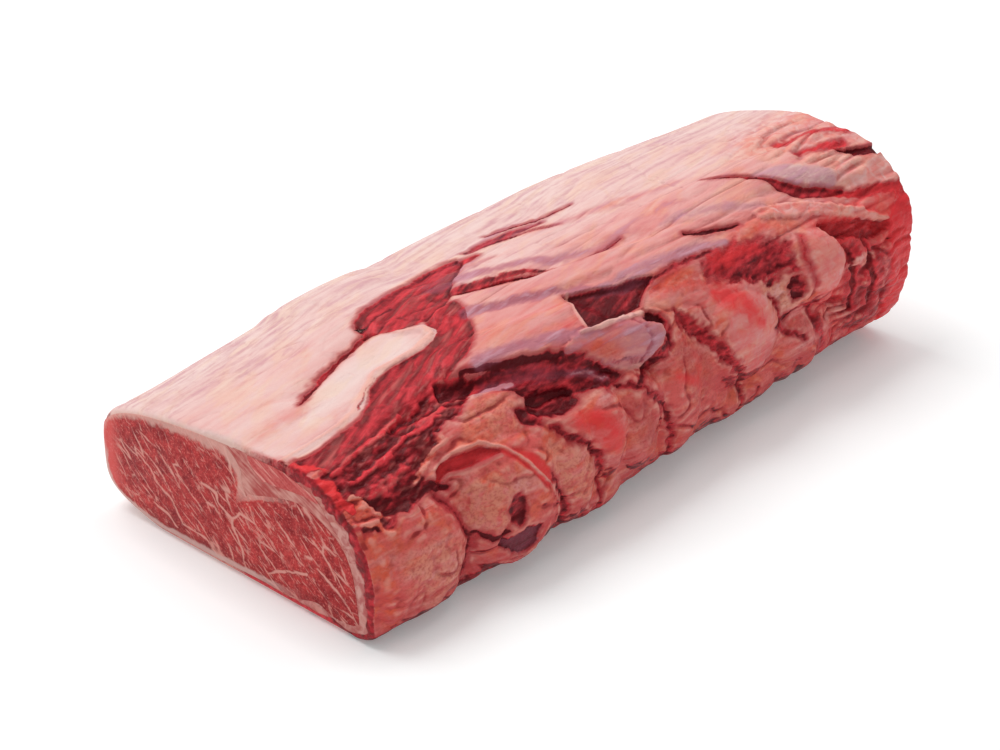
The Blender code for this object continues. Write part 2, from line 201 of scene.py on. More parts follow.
# The thick veins of the small cut, as (across, up, half breadth), from the top left downwards
EYE_VEINS = (
    ((-0.079, 0.044, 0.0003), (-0.066, 0.038, 0.0005), (-0.059, 0.030, 0.0005), (-0.049, 0.025, 0.0007),
     (-0.046, 0.021, 0.0005), (-0.041, 0.013, 0.0005), (-0.024, 0.012, 0.0006), (-0.017, 0.007, 0.0002)),
    ((-0.071, 0.047, 0.0002), (-0.060, 0.041, 0.0005), (-0.052, 0.034, 0.0005), (-0.047, 0.026, 0.0003)),
    ((-0.057, 0.050, 0.0003), (-0.050, 0.044, 0.0005), (-0.046, 0.040, 0.0002)),
    ((-0.044, 0.042, 0.0003), (-0.035, 0.037, 0.0005), (-0.027, 0.032, 0.0002)),
    ((-0.024, 0.045, 0.0003), (-0.013, 0.044, 0.0008), (-0.011, 0.038, 0.0006), (-0.002, 0.034, 0.0009),
     (-0.001, 0.027, 0.0008), (0.003, 0.019, 0.0007), (0.005, 0.007, 0.0004)),
    ((-0.002, 0.034, 0.0006), (0.004, 0.039, 0.0006), (0.010, 0.038, 0.0008), (0.016, 0.037, 0.0003)),
    ((0.012, 0.046, 0.0002), (0.013, 0.042, 0.0005), (0.015, 0.037, 0.0003)),
    ((-0.064, 0.017, 0.0003), (-0.053, 0.014, 0.0008), (-0.046, 0.009, 0.0003)),
    ((-0.033, 0.024, 0.0002), (-0.026, 0.019, 0.0004), (-0.020, 0.011, 0.0002)),
    ((0.029, 0.047, 0.0002), (0.037, 0.041, 0.0004), (0.043, 0.035, 0.0003), (0.047, 0.030, 0.0002)),
    ((0.022, 0.012, 0.0004), (0.030, 0.017, 0.0008), (0.038, 0.020, 0.0005), (0.050, 0.024, 0.0008)),
    ((0.058, 0.030, 0.0003), (0.066, 0.026, 0.0007), (0.074, 0.020, 0.0006), (0.079, 0.015, 0.0003)),
    ((0.014, 0.029, 0.0002), (0.020, 0.024, 0.0004), (0.024, 0.017, 0.0002)),
    ((0.054, 0.046, 0.0002), (0.062, 0.040, 0.0005), (0.069, 0.031, 0.0004), (0.072, 0.026, 0.0002)),
)


def smooth_between(low, high, x):
    """Eases from 0 at low to 1 at high: 3q^2 - 2q^3."""
    q = np.clip((x - low) / (high - low), 0, 1)
    return q * q * (3 - 2 * q)


def along(t, values):
    """Smooth curve (Catmull-Rom) through evenly spaced values, read at the share t of the length."""
    values = np.asarray(values, float)
    last = len(values) - 1
    place = np.clip(t, 0, 1) * last
    i = np.clip(np.floor(place).astype(int), 0, last - 1)
    f = place - i
    before = values[np.clip(i - 1, 0, last)]
    start = values[i]
    end = values[i + 1]
    after = values[np.clip(i + 2, 0, last)]
    slope = (end - before) * f
    bend = (2 * before - 5 * start + 4 * end - after) * f ** 2
    twist = (3 * start - before - 3 * end + after) * f ** 3
    return 0.5 * (2 * start + slope + bend + twist)


def section(t, turn):
    """Cross-section at share t of the length: four superellipse quarters about the crest."""
    across = np.cos(turn)
    up = np.sin(turn)
    rib_side = across > 0
    top = up > 0
    aside = along(t, CREST_ASIDE)
    height = along(t, HEIGHT) + SETTLE
    widest = np.where(rib_side, along(t, WIDEST_RIB_SIDE), along(t, WIDEST_FAT_SIDE))
    reach = np.where(rib_side, along(t, REACH_RIB_SIDE) - aside, along(t, REACH_FAT_SIDE) + aside)
    tall = np.where(top, height * (1 - widest), height * widest)
    power_top = np.where(rib_side, POWER_RIB_TOP, POWER_FAT_TOP)
    power_foot = np.where(rib_side, POWER_RIB_FOOT, POWER_FAT_FOOT)
    power = np.where(top, power_top, power_foot)
    out = np.sign(across) * np.abs(across) ** (2 / power)
    rise = np.sign(up) * np.abs(up) ** (2 / power)
    fall = np.where(top & ~rib_side, along(t, FALL_FAT_SIDE) * np.abs(out), 0)
    x = aside + reach * out
    z = height * widest + tall * rise * (1 - fall)
    return x, np.maximum(z - SETTLE, 0)


def outline(t, share):
    """Cross-section's points at shares of its girth, from the middle of the underside, up the rib side."""
    turn = np.linspace(-math.pi / 2, 1.5 * math.pi, FINE_STEPS + 1)
    x, z = section(t, turn)
    run = np.concatenate([[0], np.cumsum(np.hypot(np.diff(x), np.diff(z)))])
    place = np.mod(share, 1) * run[-1]
    return np.interp(place, run, x), np.interp(place, run, z)


def outward(t, share):
    """Unit normal of the cross-section: its tangent over a short step, turned a quarter."""
    step = 0.002
    x0, z0 = outline(t, share - step)
    x1, z1 = outline(t, share + step)
    long = np.hypot(x1 - x0, z1 - z0)
    return (z1 - z0) / long, -(x1 - x0) / long


def core(t):
    """Centre that each cross-section's rays run to."""
    return 0.5 * (along(t, REACH_RIB_SIDE) - along(t, REACH_FAT_SIDE)), 0.45 * along(t, HEIGHT)


def sunk(t, share, depth):
    """Points at a depth under the plain section, measured square to it, along rays to the core."""
    x, z = outline(t, share)
    nx, nz = outward(t, share)
    cx, cz = core(t)
    support = (x - cx) * nx + (z - cz) * nz
    q = np.clip(depth / support, 0, 0.95)
    return x + q * (cx - x), z + q * (cz - z)


def round_girth(share, knots):
    """Smooth depth round the girth through (share, depth) knots, closed on itself."""
    at = np.array([k[0] for k in knots])
    depth = np.array([k[1] for k in knots])
    at = np.concatenate([at - 1, at, at + 1])
    depth = np.tile(depth, 3)
    place = np.mod(share, 1)
    i = np.searchsorted(at, place, side="right") - 1
    f = (place - at[i]) / (at[i + 1] - at[i])
    f = f * f * (3 - 2 * f)
    return depth[i] * (1 - f) + depth[i + 1] * f


def fat_depth(t, share):
    """Fat between the skin and the first lean."""
    loin = round_girth(share, FAT_DEPTH_LOIN)
    chuck = round_girth(share, FAT_DEPTH_CHUCK)
    ends = loin * (1 - t) + chuck * t
    return ends + FAT_DEPTH_MIDDLE * smooth_between(0, 0.12, t) * smooth_between(0, 0.12, 1 - t)


def cap_span(t):
    """Where round the girth the cap muscle starts and ends."""
    start = CAP_SPAN_LOIN[0] * (1 - t) + CAP_SPAN_CHUCK[0] * t
    end = CAP_SPAN_LOIN[1] * (1 - t) + CAP_SPAN_CHUCK[1] * t
    return start, end


def cap_thickness(t, share):
    """Lens of cap muscle: a power of a sine, thin at both ends of its span."""
    start, end = cap_span(t)
    q = np.clip((share - start) / (end - start), 0, 1)
    peak = CAP_THICKNESS[0] * (1 - t) + CAP_THICKNESS[1] * t
    return CAP_EDGE + peak * np.sin(math.pi * q) ** 0.8


def eye_depth(t, share):
    """Depth of the eye muscle: under the fat, the cap and the seam, where those lie over it."""
    start, end = cap_span(t)
    place = np.mod(share, 1)
    over = smooth_between(start - 0.07, start + 0.03, place) * smooth_between(end + 0.05, end - 0.02, place)
    seam = (SEAM_THICKNESS[0] * (1 - t) + SEAM_THICKNESS[1] * t) * over
    lean = np.where((place > start) & (place < end), cap_thickness(t, place), 0)
    near_cap = smooth_between(start - 0.02, start, place) * smooth_between(end + 0.02, end, place)
    thin_edge = CAP_EDGE * near_cap
    return fat_depth(t, share) + np.maximum(lean, thin_edge) + seam + SEAM_EDGE * over


def edge_round(share):
    """Radius where the skin turns over the edge of a cut: larger on the fat side."""
    place = np.mod(share, 1)
    side = smooth_between(0.50, 0.58, place) * smooth_between(0.80, 0.72, place)
    return EDGE_ROUND + (EDGE_ROUND_FAT_SIDE - EDGE_ROUND) * side


def setback(t, share, depth):
    """How far a cut face stands back from the roll's end: a low crown, and a quarter round at the skin."""
    x, z = outline(t, share)
    nx, nz = outward(t, share)
    cx, cz = core(t)
    support = (x - cx) * nx + (z - cz) * nz
    radius = edge_round(share)
    inside = np.clip(radius - depth, 0, radius)
    turned = radius - np.sqrt(radius ** 2 - inside ** 2)
    return CUT_CROWN * (1 - np.clip(depth / support, 0, 1)) ** 2 + turned


def on_cut(t, x, z, back):
    """World points of a cut face that stands back from the roll's end."""
    s = back if t == 0 else LENGTH - back
    return np.stack([x + SIDE_SHIFT, np.broadcast_to(s, x.shape) - LENGTH / 2, z], axis=-1)


def between_cuts(t, x, z):
    """World points of a cross-section at share t of the length."""
    return np.stack([x + SIDE_SHIFT, np.full(x.shape, (t - 0.5) * LENGTH), z], axis=-1)


def lattice_noise(points, seed):
    """Smooth noise from 0 to 1: a hashed value at each whole-numbered place, eased between the eight
    round a point."""
    cell = np.floor(points).astype(np.int64)
    part = points - cell
    part = part * part * (3 - 2 * part)
    total = np.zeros(points.shape[:-1])
    for corner in np.ndindex(2, 2, 2):
        at = cell + corner
        hashed = at[..., 0] * 73856093 ^ at[..., 1] * 19349663 ^ at[..., 2] * 83492791 ^ seed * 97911137
        hashed = ((hashed ^ hashed >> 13) * 1274126177) & 0xFFFFFFFF
        hashed = (hashed ^ hashed >> 15) & 0xFFFF
        total += np.prod(np.where(corner, part, 1 - part), axis=-1) * hashed / 0xFFFF
    return total


def rough(points, sizes, seed):
    """Two octaves of noise about 0, from -1 to 1, with lumps of the given sizes in metres."""
    coarse = lattice_noise(points / np.array(sizes), seed)
    fine = lattice_noise(points / np.array(sizes) * 2.1, seed + 1)
    return (coarse * 2 + fine - 1.5) / 1.5


def stroke_depth(a, b, path):
    """How far inside a tapering stroke each place is, negative outside: the stroke's half breadth less
    the distance to its path of (a, b, half breadth) points."""
    best = np.full(np.shape(a), -1.0)
    for (a0, b0, w0), (a1, b1, w1) in zip(path, path[1:]):
        run = np.array([a1 - a0, b1 - b0])
        q = np.clip(((a - a0) * run[0] + (b - b0) * run[1]) / (run @ run), 0, 1)
        far = np.hypot(a - a0 - q * run[0], b - b0 - q * run[1])
        best = np.maximum(best, w0 + (w1 - w0) * q - far)
    return best


def rings_to_mesh(name, rows, near_cap, far_cap):
    """Closed mesh object from rows of points that run round a piece, with faces given for its ends."""
    count, steps = rows.shape[:2]
    index = np.arange(count * steps).reshape(count, steps)
    after = np.roll(index, -1, axis=1)
    sides = np.stack([index[:-1], index[1:], after[1:], after[:-1]], axis=-1).reshape(-1, 4)
    mesh = bpy.data.meshes.new(name)
    mesh.from_pydata(rows.reshape(-1, 3), [], sides.tolist() + near_cap + far_cap)
    mesh.shade_smooth()
    mesh.set_sharp_from_angle(angle=math.radians(50))
    made = bpy.data.objects.new(name, mesh)
    bpy.context.scene.collection.objects.link(made)
    return made


def keep_values(obj, name, values):
    """Stores one number for each point of a mesh, for its material to read."""
    store = obj.data.attributes.new(name, "FLOAT", "POINT")
    store.data.foreach_set("value", np.ascontiguousarray(values, np.float32).ravel())


def make_eye():
    """The eye: rings on the small cut from the core outwards, rows along it, and rings back to the
    core of the large cut. Grain and veins stand up from the cut faces."""
    share = np.arange(EYE_STEPS) / EYE_STEPS
    shrink = np.linspace(INNERMOST, 0, EYE_FACE_RINGS)[:, None]
    rows = []
    veins = []
    rims = []
    for t in (0.0, 1.0):
        edge_x, edge_z = sunk(t, share, eye_depth(t, share))
        px, pz = outline(t, share)
        nx, nz = outward(t, share)
        cx, cz = core(t)
        x = edge_x * (1 - shrink) + cx * shrink
        z = edge_z * (1 - shrink) + cz * shrink
        depth = (px - x) * nx + (pz - z) * nz
        points = on_cut(t, x, z, setback(t, share, depth) - LEAN_PROUD)
        rim = (edge_x - x) * nx + (edge_z - z) * nz
        inland = smooth_between(0, 0.002, rim)
        wander_x = rough(points, (0.006, 0.006, 0.006), 11) * 0.0012
        wander_z = rough(points, (0.006, 0.006, 0.006), 23) * 0.0012
        vein = np.full(x.shape, NO_VEIN)
        if t == 0:
            for path in EYE_VEINS:
                vein = np.maximum(vein, stroke_depth(points[..., 0] + wander_x, z + wander_z, path))
        swell = GRAIN_RELIEF * rough(points, (0.0028, 0.0028, 0.0028), 5)
        swell = swell + VEIN_RELIEF * smooth_between(-0.0005, 0.0003, vein)
        points[..., 1] += (-1 if t == 0 else 1) * swell * inland
        rows.append(points if t == 0 else points[::-1])
        veins.append(vein if t == 0 else vein[::-1])
        rims.append(rim if t == 0 else rim[::-1])
    between = []
    for t in np.linspace(0, 1, SIDE_ROWS + 2)[1:-1]:
        x, z = sunk(t, share, eye_depth(t, share))
        between.append(between_cuts(t, x, z))
    rows.insert(1, np.array(between))
    veins.insert(1, np.full((SIDE_ROWS, EYE_STEPS), NO_VEIN))
    rims.insert(1, np.zeros((SIDE_ROWS, EYE_STEPS)))
    rows = np.concatenate(rows)
    near = list(range(EYE_STEPS))
    far = list(range((len(rows) - 1) * EYE_STEPS, len(rows) * EYE_STEPS))
    eye = rings_to_mesh("eye_lean", rows, [near], [far[::-1]])
    keep_values(eye, "vein", np.concatenate(veins))
    keep_values(eye, "rim", np.concatenate(rims))
    return eye


# Lines of marbling lean down to the right by this much across the cut
VEIN_SLANT = math.radians(38)
VEIN_BREADTH = 0.00040
NET_PATCH_SIZE = 0.016
# Cells of lean between veins, long and short way, and the flecks within them
BUNDLE_CELL = (0.026, 0.0072)
FLECK_CELL = (0.0062, 0.0017)
GRAIN_SIZE = 0.0011
CLUMP_SIZE = 0.0045
CLOUD_SIZE = 0.024


def noise(tree, vector, detail, scale=1.0, distortion=0.0, roughness=0.5):
    """Fractal noise about 0.5, with detail octaves finer than its first."""
    return add(tree, "ShaderNodeTexNoise", {
        "Vector": vector, "Scale": scale, "Detail": detail, "Distortion": distortion, "Roughness": roughness,
    })


def in_cells(tree, place, size, turn=(0, 0, 0)):
    """Place turned, and counted in cells of the given sizes."""
    return add(tree, "ShaderNodeMapping", {"Vector": place, "Rotation": turn, "Scale": size},
               vector_type="TEXTURE")


def stored(tree, name):
    """Number that the mesh keeps for each point under a name."""
    return add(tree, "ShaderNodeAttribute", attribute_name=name, out=2)


def ramped(tree, value, low, high, bottom=0.0, top=1.0):
    """Straight ramp from bottom at low to top at high, held past both."""
    return add(tree, "ShaderNodeMapRange", {0: value, 1: low, 2: high, 3: bottom, 4: top})


def eased(tree, value, low, high, top=1.0):
    """Smooth ramp from 0 at low to top at high, held past both."""
    return add(tree, "ShaderNodeMapRange", {0: value, 1: low, 2: high, 3: 0.0, 4: top},
               interpolation_type="SMOOTHSTEP")


def weighed(tree, value, weight, rest):
    """The value times its weight, plus the rest."""
    return add(tree, "ShaderNodeMath", {0: value, 1: weight, 2: rest}, operation="MULTIPLY_ADD")


def times(tree, first, second):
    """Product of two shares."""
    return add(tree, "ShaderNodeMath", {0: first, 1: second}, operation="MULTIPLY", use_clamp=True)


def larger(tree, first, second):
    """Larger of two shares."""
    return add(tree, "ShaderNodeMath", {0: first, 1: second}, operation="MAXIMUM")


def mixed(tree, part, first, second):
    """Colour from the first, at 0, to the second, at 1. Either may be an sRGB hex code."""
    first, second = [linear(colour) if isinstance(colour, str) else colour for colour in (first, second)]
    return add(tree, "ShaderNodeMix", {0: part, 6: first, 7: second}, out=2, data_type="RGBA")


def wet_surface(tree, tint, roughness, height, relief, strength, ior, shine=0.14):
    """Closes a material: its colour and gloss, and dents from a height."""
    dents = add(tree, "ShaderNodeBump", {"Height": height, "Distance": relief, "Strength": strength})
    shade = add(tree, "ShaderNodeBsdfPrincipled", {
        "Base Color": tint, "Roughness": roughness, "Normal": dents, "IOR": ior, "Specular IOR Level": shine,
    })
    add(tree, "ShaderNodeOutputMaterial", {"Surface": shade})


def broken_net(tree, place, seed, least):
    """Net of fat lines along the edges of long cells, shown only where a slow noise is over a level:
    gives 1 on a line and 0 off it."""
    across = add(tree, "ShaderNodeMapping", {
        "Vector": place, "Location": (seed, seed, seed), "Rotation": (0, VEIN_SLANT, 0),
        "Scale": (BUNDLE_CELL[0], BUNDLE_CELL[0], BUNDLE_CELL[1]),
    }, vector_type="TEXTURE")
    wavy = add(tree, "ShaderNodeTexNoise", {"Vector": across, "Scale": 2.2, "Detail": 2.0}, out=1)
    bent = add(tree, "ShaderNodeMix", {0: 0.22, 4: across, 5: wavy}, out=1, data_type="VECTOR")
    edge = add(tree, "ShaderNodeTexVoronoi", {"Vector": bent, "Scale": 1.28, "Randomness": 1.0},
               feature="DISTANCE_TO_EDGE")
    shown = ramped(tree, noise(tree, place, 2.0, 1 / NET_PATCH_SIZE), least, least + 0.16)
    inside = weighed(tree, shown, VEIN_BREADTH / BUNDLE_CELL[1], weighed(tree, edge, -1.0, 0.0))
    return eased(tree, inside, -0.02, 0.05)


def eye_finish():
    """Fresh-cut marbled beef: wet, deep red, grainy lean with pinkish-cream fat in broken lines. It
    shines softly in patches, and its veins stand up a little."""
    material = new_material("marbled beef, fresh cut across the grain")
    tree = material.node_tree
    place = add(tree, "ShaderNodeTexCoord", out=3)
    across = add(tree, "ShaderNodeSeparateXYZ", {"Vector": place})
    up = add(tree, "ShaderNodeSeparateXYZ", {"Vector": place}, out=2)
    grain = noise(tree, place, 3.0, 1 / GRAIN_SIZE, roughness=0.6)
    clump = noise(tree, place, 3.0, 1 / CLUMP_SIZE)
    cloud = noise(tree, place, 2.0, 1 / CLOUD_SIZE)
    tone = weighed(tree, grain, 0.75, 0.0)
    tone = weighed(tree, clump, 0.7, tone)
    tone = weighed(tree, cloud, 0.6, tone)
    lean = mixed(tree, ramped(tree, tone, 0.78, 1.28), "#870e18", "#d84543")
    # The membrane at the fat side of the cut has no grain, and the foot of the cut is in shadow
    left = eased(tree, across, -0.086, -0.098)
    lean = mixed(tree, left, lean, "#e05652")
    lean = mixed(tree, ramped(tree, up, 0.014, 0.003, top=0.55), lean, "#6d1018")
    # Fat: the drawn veins, the net of thin ones, the flecks, and specks between the grains
    vein = weighed(tree, clump, 0.0011, stored(tree, "vein"))
    fat = eased(tree, vein, 0.00010, 0.00085)
    fat = larger(tree, fat, broken_net(tree, place, 0.31, 0.46))
    dashes = in_cells(tree, place, (FLECK_CELL[0], FLECK_CELL[0], FLECK_CELL[1]), (0, VEIN_SLANT, 0))
    dashes = noise(tree, dashes, 2.5, distortion=0.6)
    fat = larger(tree, fat, eased(tree, weighed(tree, cloud, 0.35, dashes), 0.76, 0.86, 0.75))
    fat = times(tree, fat, weighed(tree, left, -0.82, 0.82))
    lean = mixed(tree, eased(tree, grain, 0.55, 0.70, 0.42), lean, "#e5958a")
    tint = mixed(tree, fat, lean, "#eaa79a")
    # Thin greyish-pink rind along the foot of the cut, where the knife met the underside
    rim = stored(tree, "rim")
    left_part = ramped(tree, across, 0.045, 0.010)
    rind = eased(tree, weighed(tree, clump, 0.0030, rim), 0.0056, 0.0038, 0.85)
    rind = times(tree, rind, ramped(tree, up, 0.040, 0.026))
    tint = mixed(tree, times(tree, rind, left_part), tint, "#dfb8b0")
    # Cream rind along the top of the cut, which widens towards the cap
    reach = ramped(tree, across, -0.085, 0.010, 0.0072, 0.0122)
    rind = weighed(tree, clump, 0.0060, rim)
    rind = weighed(tree, dashes, 0.0050, rind)
    rind = eased(tree, weighed(tree, reach, -1.0, rind), 0.0018, -0.0018, 0.74)
    rind = times(tree, rind, ramped(tree, up, 0.042, 0.054))
    tint = mixed(tree, times(tree, rind, left_part), tint, "#e8b2a6")
    wet = ramped(tree, cloud, 0.35, 0.7, 0.30, 0.46)
    wet_surface(tree, tint, wet, weighed(tree, fat, 0.5, grain), 0.0005, 0.55, 1.40)
    return material


eye = make_eye()
eye.data.materials.append(eye_finish())
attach(eye, "root")
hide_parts("eye_muscle")


# Cap muscle
# A wedge of looser lean that lies on the eye and thickens towards the large cut. Its grain runs
# with the wedge, so the cut shows pale streaks along it.
CAP_STEPS = 230
CAP_FACE_RINGS = 14
CAP_SLANT = math.radians(24)
STREAK_CELL = (0.022, 0.022, 0.0016)


def make_lens(name, span, top, foot, proud, steps, rings):
    """Piece between two depths under the skin, over a span of the girth: rings on each cut face from
    the middle of its thickness outwards, with rows between the faces."""
    across = np.linspace(0, 1, steps)
    rows = []
    rims = []
    for t in (0.0, 1.0):
        start, end = span(t)
        share = start + (end - start) * across
        middle = 0.5 * (top(t, share) + foot(t, share))
        face = []
        rim = []
        for q in np.linspace(0.95, 0, rings):
            loop = []
            for depth, order in ((top(t, share), 1), (foot(t, share), -1)):
                depth = depth * (1 - q) + middle * q
                x, z = sunk(t, share, depth)
                loop.append(on_cut(t, x, z, setback(t, share, depth) - proud)[::order])
            face.append(np.concatenate(loop))
            rim.append(np.full(2 * steps, q))
        rows += face if t == 0 else face[::-1]
        rims += rim if t == 0 else rim[::-1]
        if t == 0:
            for between in np.linspace(0, 1, SIDE_ROWS + 2)[1:-1]:
                start, end = span(between)
                share = start + (end - start) * across
                loop = []
                for depth, order in ((top(between, share), 1), (foot(between, share), -1)):
                    loop.append(between_cuts(between, *sunk(between, share, depth))[::order])
                rows.append(np.concatenate(loop))
                rims.append(np.zeros(2 * steps))
    rows = np.array(rows)
    last = (len(rows) - 1) * 2 * steps
    near = [[c, c + 1, 2 * steps - 2 - c, 2 * steps - 1 - c] for c in range(steps - 1)]
    far = [[last + c for c in face[::-1]] for face in near]
    lens = rings_to_mesh(name, rows, near, far)
    keep_values(lens, "rim", np.array(rims))
    return lens


def cap_finish():
    """Fresh-cut looser beef: paler red lean with pinkish streaks of fat that follow its grain."""
    material = new_material("streaked beef, fresh cut along the grain")
    tree = material.node_tree
    place = add(tree, "ShaderNodeTexCoord", out=3)
    grain = noise(tree, place, 3.0, 1 / GRAIN_SIZE)
    streak = noise(tree, in_cells(tree, place, STREAK_CELL, (0, CAP_SLANT, 0)), 4.0, distortion=0.3)
    tone = ramped(tree, weighed(tree, grain, 0.5, streak), 0.5, 1.0)
    lean = mixed(tree, tone, "#bb3237", "#e57a73")
    tint = mixed(tree, eased(tree, streak, 0.55, 0.66, 0.55), lean, "#efb3a7")
    wet_surface(tree, tint, 0.36, tone, 0.0006, 0.5, 1.40)
    return material


def cap_foot(t, share):
    """Depth of the cap's underside."""
    return fat_depth(t, share) + cap_thickness(t, share)


cap = make_lens("cap_lean", cap_span, fat_depth, cap_foot, LEAN_PROUD, CAP_STEPS, CAP_FACE_RINGS)
cap.data.materials.append(cap_finish())
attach(cap, "root")
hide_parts("cap_muscle")


# Seam
# The tough fat and gristle between the cap and the eye: greyish pink, with fibres that run as the
# cap's grain does.
SEAM_BEFORE = 0.08
SEAM_AFTER = 0.06
SEAM_TUCK = 0.0006
SEAM_STEPS = 170
SEAM_FACE_RINGS = 8
STRING_CELL = (0.012, 0.012, 0.0014)
GRISTLE_SIZE = 0.008


def seam_span(t):
    """The seam runs on a little past both ends of the cap."""
    start, end = cap_span(t)
    return start - SEAM_BEFORE, end + SEAM_AFTER


def seam_top(t, share):
    """Depth of the cap's underside, or of the cover fat where the cap has ended."""
    start, end = cap_span(t)
    lean = np.where((share > start) & (share < end), cap_thickness(t, share), 0)
    return fat_depth(t, share) + lean - SEAM_TUCK


def seam_foot(t, share):
    """Depth of the eye, and a little into it."""
    return eye_depth(t, share) + SEAM_TUCK


def seam_finish():
    """Seam fat: dull, greyish pink and stringy, as gristle is."""
    material = new_material("stringy seam fat")
    tree = material.node_tree
    place = add(tree, "ShaderNodeTexCoord", out=3)
    strings = noise(tree, in_cells(tree, place, STRING_CELL, (0, CAP_SLANT, 0)), 3.0, distortion=0.4)
    tone = weighed(tree, strings, 1.0, noise(tree, place, 2.0, 1 / GRISTLE_SIZE))
    tint = mixed(tree, ramped(tree, tone, 0.78, 1.22), "#b84c49", "#dd9d92")
    wet_surface(tree, tint, 0.45, strings, 0.0008, 0.5, 1.44)
    return material


seam = make_lens("seam_fat", seam_span, seam_top, seam_foot, LEAN_PROUD / 2, SEAM_STEPS, SEAM_FACE_RINGS)
seam.data.materials.append(seam_finish())
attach(seam, "root")
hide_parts("fat_cover")


# Skin of the roll
# What the knife left round the lean: pale cover fat on the fat side, straps of salmon fat and silver
# skin along the top, lean bared where sheets were pulled off, and pads of fat over where the ribs
# were. It is one skin, laid out by length from the small cut and share of the girth, and made as
# four closed bands of fat that meet edge to edge.
PADS = (
    (0.036, 0.165, 0.033, 0.034, 0.0055),
    (0.097, 0.180, 0.034, 0.036, 0.0075),
    (0.139, 0.185, 0.018, 0.032, 0.0060),
    (0.163, 0.205, 0.018, 0.026, 0.0065),
    (0.160, 0.125, 0.020, 0.018, 0.0040),
    (0.192, 0.200, 0.020, 0.028, 0.0065),
    (0.224, 0.185, 0.019, 0.030, 0.0055),
    (0.279, 0.225, 0.034, 0.028, 0.0065),
    (0.292, 0.140, 0.030, 0.018, 0.0035),
    (0.346, 0.275, 0.027, 0.022, 0.0055),
    (0.338, 0.175, 0.028, 0.024, 0.0040),
    (0.395, 0.225, 0.032, 0.030, 0.0040),
)
STRAPS = (
    (((0.112, 0.345), (0.150, 0.330), (0.180, 0.318)), 0.015, 0.0030),
    (((0.142, 0.423), (0.186, 0.388), (0.248, 0.367), (0.330, 0.346)), 0.010, 0.0025),
    (((0.232, 0.352), (0.275, 0.335), (0.325, 0.318)), 0.013, 0.0025),
    (((0.168, 0.296), (0.192, 0.283), (0.212, 0.272)), 0.011, 0.0025),
    (((0.300, 0.395), (0.360, 0.400), (0.420, 0.405)), 0.022, 0.0030),
    (((0.020, 0.430), (0.070, 0.450), (0.105, 0.490)), 0.022, 0.0015),
    (((0.120, 0.600), (0.150, 0.590)), 0.022, 0.0020),
)
CLEFTS = (
    (((0.060, 0.315), (0.092, 0.322), (0.125, 0.302), (0.172, 0.273), (0.205, 0.250)), 0.007, 0.0050),
    (((0.122, 0.274), (0.140, 0.268), (0.156, 0.262)), 0.009, 0.0045),
    (((0.048, 0.422), (0.088, 0.452), (0.108, 0.464)), 0.006, 0.0025),
    (((0.154, 0.462), (0.188, 0.420), (0.237, 0.401), (0.262, 0.387)), 0.007, 0.0025),
    (((0.196, 0.530), (0.231, 0.528), (0.257, 0.497)), 0.008, 0.0025),
    (((0.344, 0.372), (0.372, 0.366), (0.398, 0.350)), 0.007, 0.0030),
    (((0.175, 0.550), (0.245, 0.540)), 0.032, 0.0065),
    (((0.060, 0.260), (0.067, 0.190), (0.060, 0.110)), 0.007, 0.0035),
    (((0.129, 0.228), (0.150, 0.196), (0.158, 0.160)), 0.006, 0.0025),
    (((0.176, 0.241), (0.194, 0.205), (0.212, 0.160)), 0.006, 0.0025),
    (((0.238, 0.273), (0.252, 0.230), (0.262, 0.190), (0.287, 0.160)), 0.007, 0.0035),
    (((0.312, 0.262), (0.322, 0.225), (0.365, 0.215)), 0.007, 0.0035),
)

# How rosy the fat is round the girth: 0 is cream and 1 is the salmon of the pads
ROSY_GIRTH = (
    (0.00, 0.60), (0.075, 0.90), (0.16, 1.00), (0.26, 0.98), (0.31, 0.77), (0.36, 0.65),
    (0.42, 0.53), (0.47, 0.20), (0.60, 0.05), (0.72, 0.20), (0.90, 0.50),
)
# Painted shade round the girth, laid on the plain fat as silver skin: greyest near the fat side's edge,
# where the fat curves away
SILVER_SHADE_GIRTH = (
    (0.30, 0.00), (0.40, 0.18), (0.47, 0.24), (0.53, 0.32), (0.58, 0.36), (0.63, 0.42), (0.74, 0.28),
    (0.86, 0.10),
)
# Lean at the edge of the small cut, as (share of the girth, how much, how deep under the skin)
RIM_LEAN = (
    (0.00, 0.95, 0.0042), (0.06, 0.90, 0.0046), (0.12, 0.90, 0.0040), (0.18, 0.95, 0.0065),
    (0.27, 0.95, 0.0060), (0.33, 0.60, 0.0080), (0.39, 0.30, 0.0200), (0.43, 0.05, 0.0200),
    (0.60, 0.05, 0.0200), (0.645, 0.90, 0.0200), (0.70, 0.90, 0.0200), (0.735, 0.20, 0.0200),
    (0.80, 0.02, 0.0100), (0.90, 0.02, 0.0045), (0.95, 0.85, 0.0045),
)

# Marks count lengths in thousandths of a metre, and places round the roll in those of the girth
PER_WHOLE = 1000


def stroke(*path, **looks):
    """Mark along a path of (length from the small cut, place round the roll, half breadth). Its looks
    are its lift, its lip and the softness of its edge, in thousandths of a metre too, how ragged or
    torn that edge is, and its tints and forms from 0 to 1."""
    for name in ("edge", "lift", "lip"):
        if name in looks:
            looks[name] /= PER_WHOLE
    path = [(at / PER_WHOLE, around / PER_WHOLE * GIRTH, half / PER_WHOLE) for at, around, half in path]
    return dict(looks, path=path)


def patch(*corners, sharp=0, **looks):
    """Mark over the inside of its corners. Unless it is sharp, they are cut twice at a quarter of each
    side, which rounds them."""
    mark = stroke(*[(*corner, 0) for corner in corners], **looks)
    border = np.array(mark["path"])[:, :2]
    for _ in range(0 if sharp else 2):
        after = np.roll(border, -1, axis=0)
        border = np.stack([0.75 * border + 0.25 * after, 0.25 * border + 0.75 * after], axis=1)
        border = border.reshape(-1, 2)
    return dict(mark, patch=[tuple(corner) for corner in border])


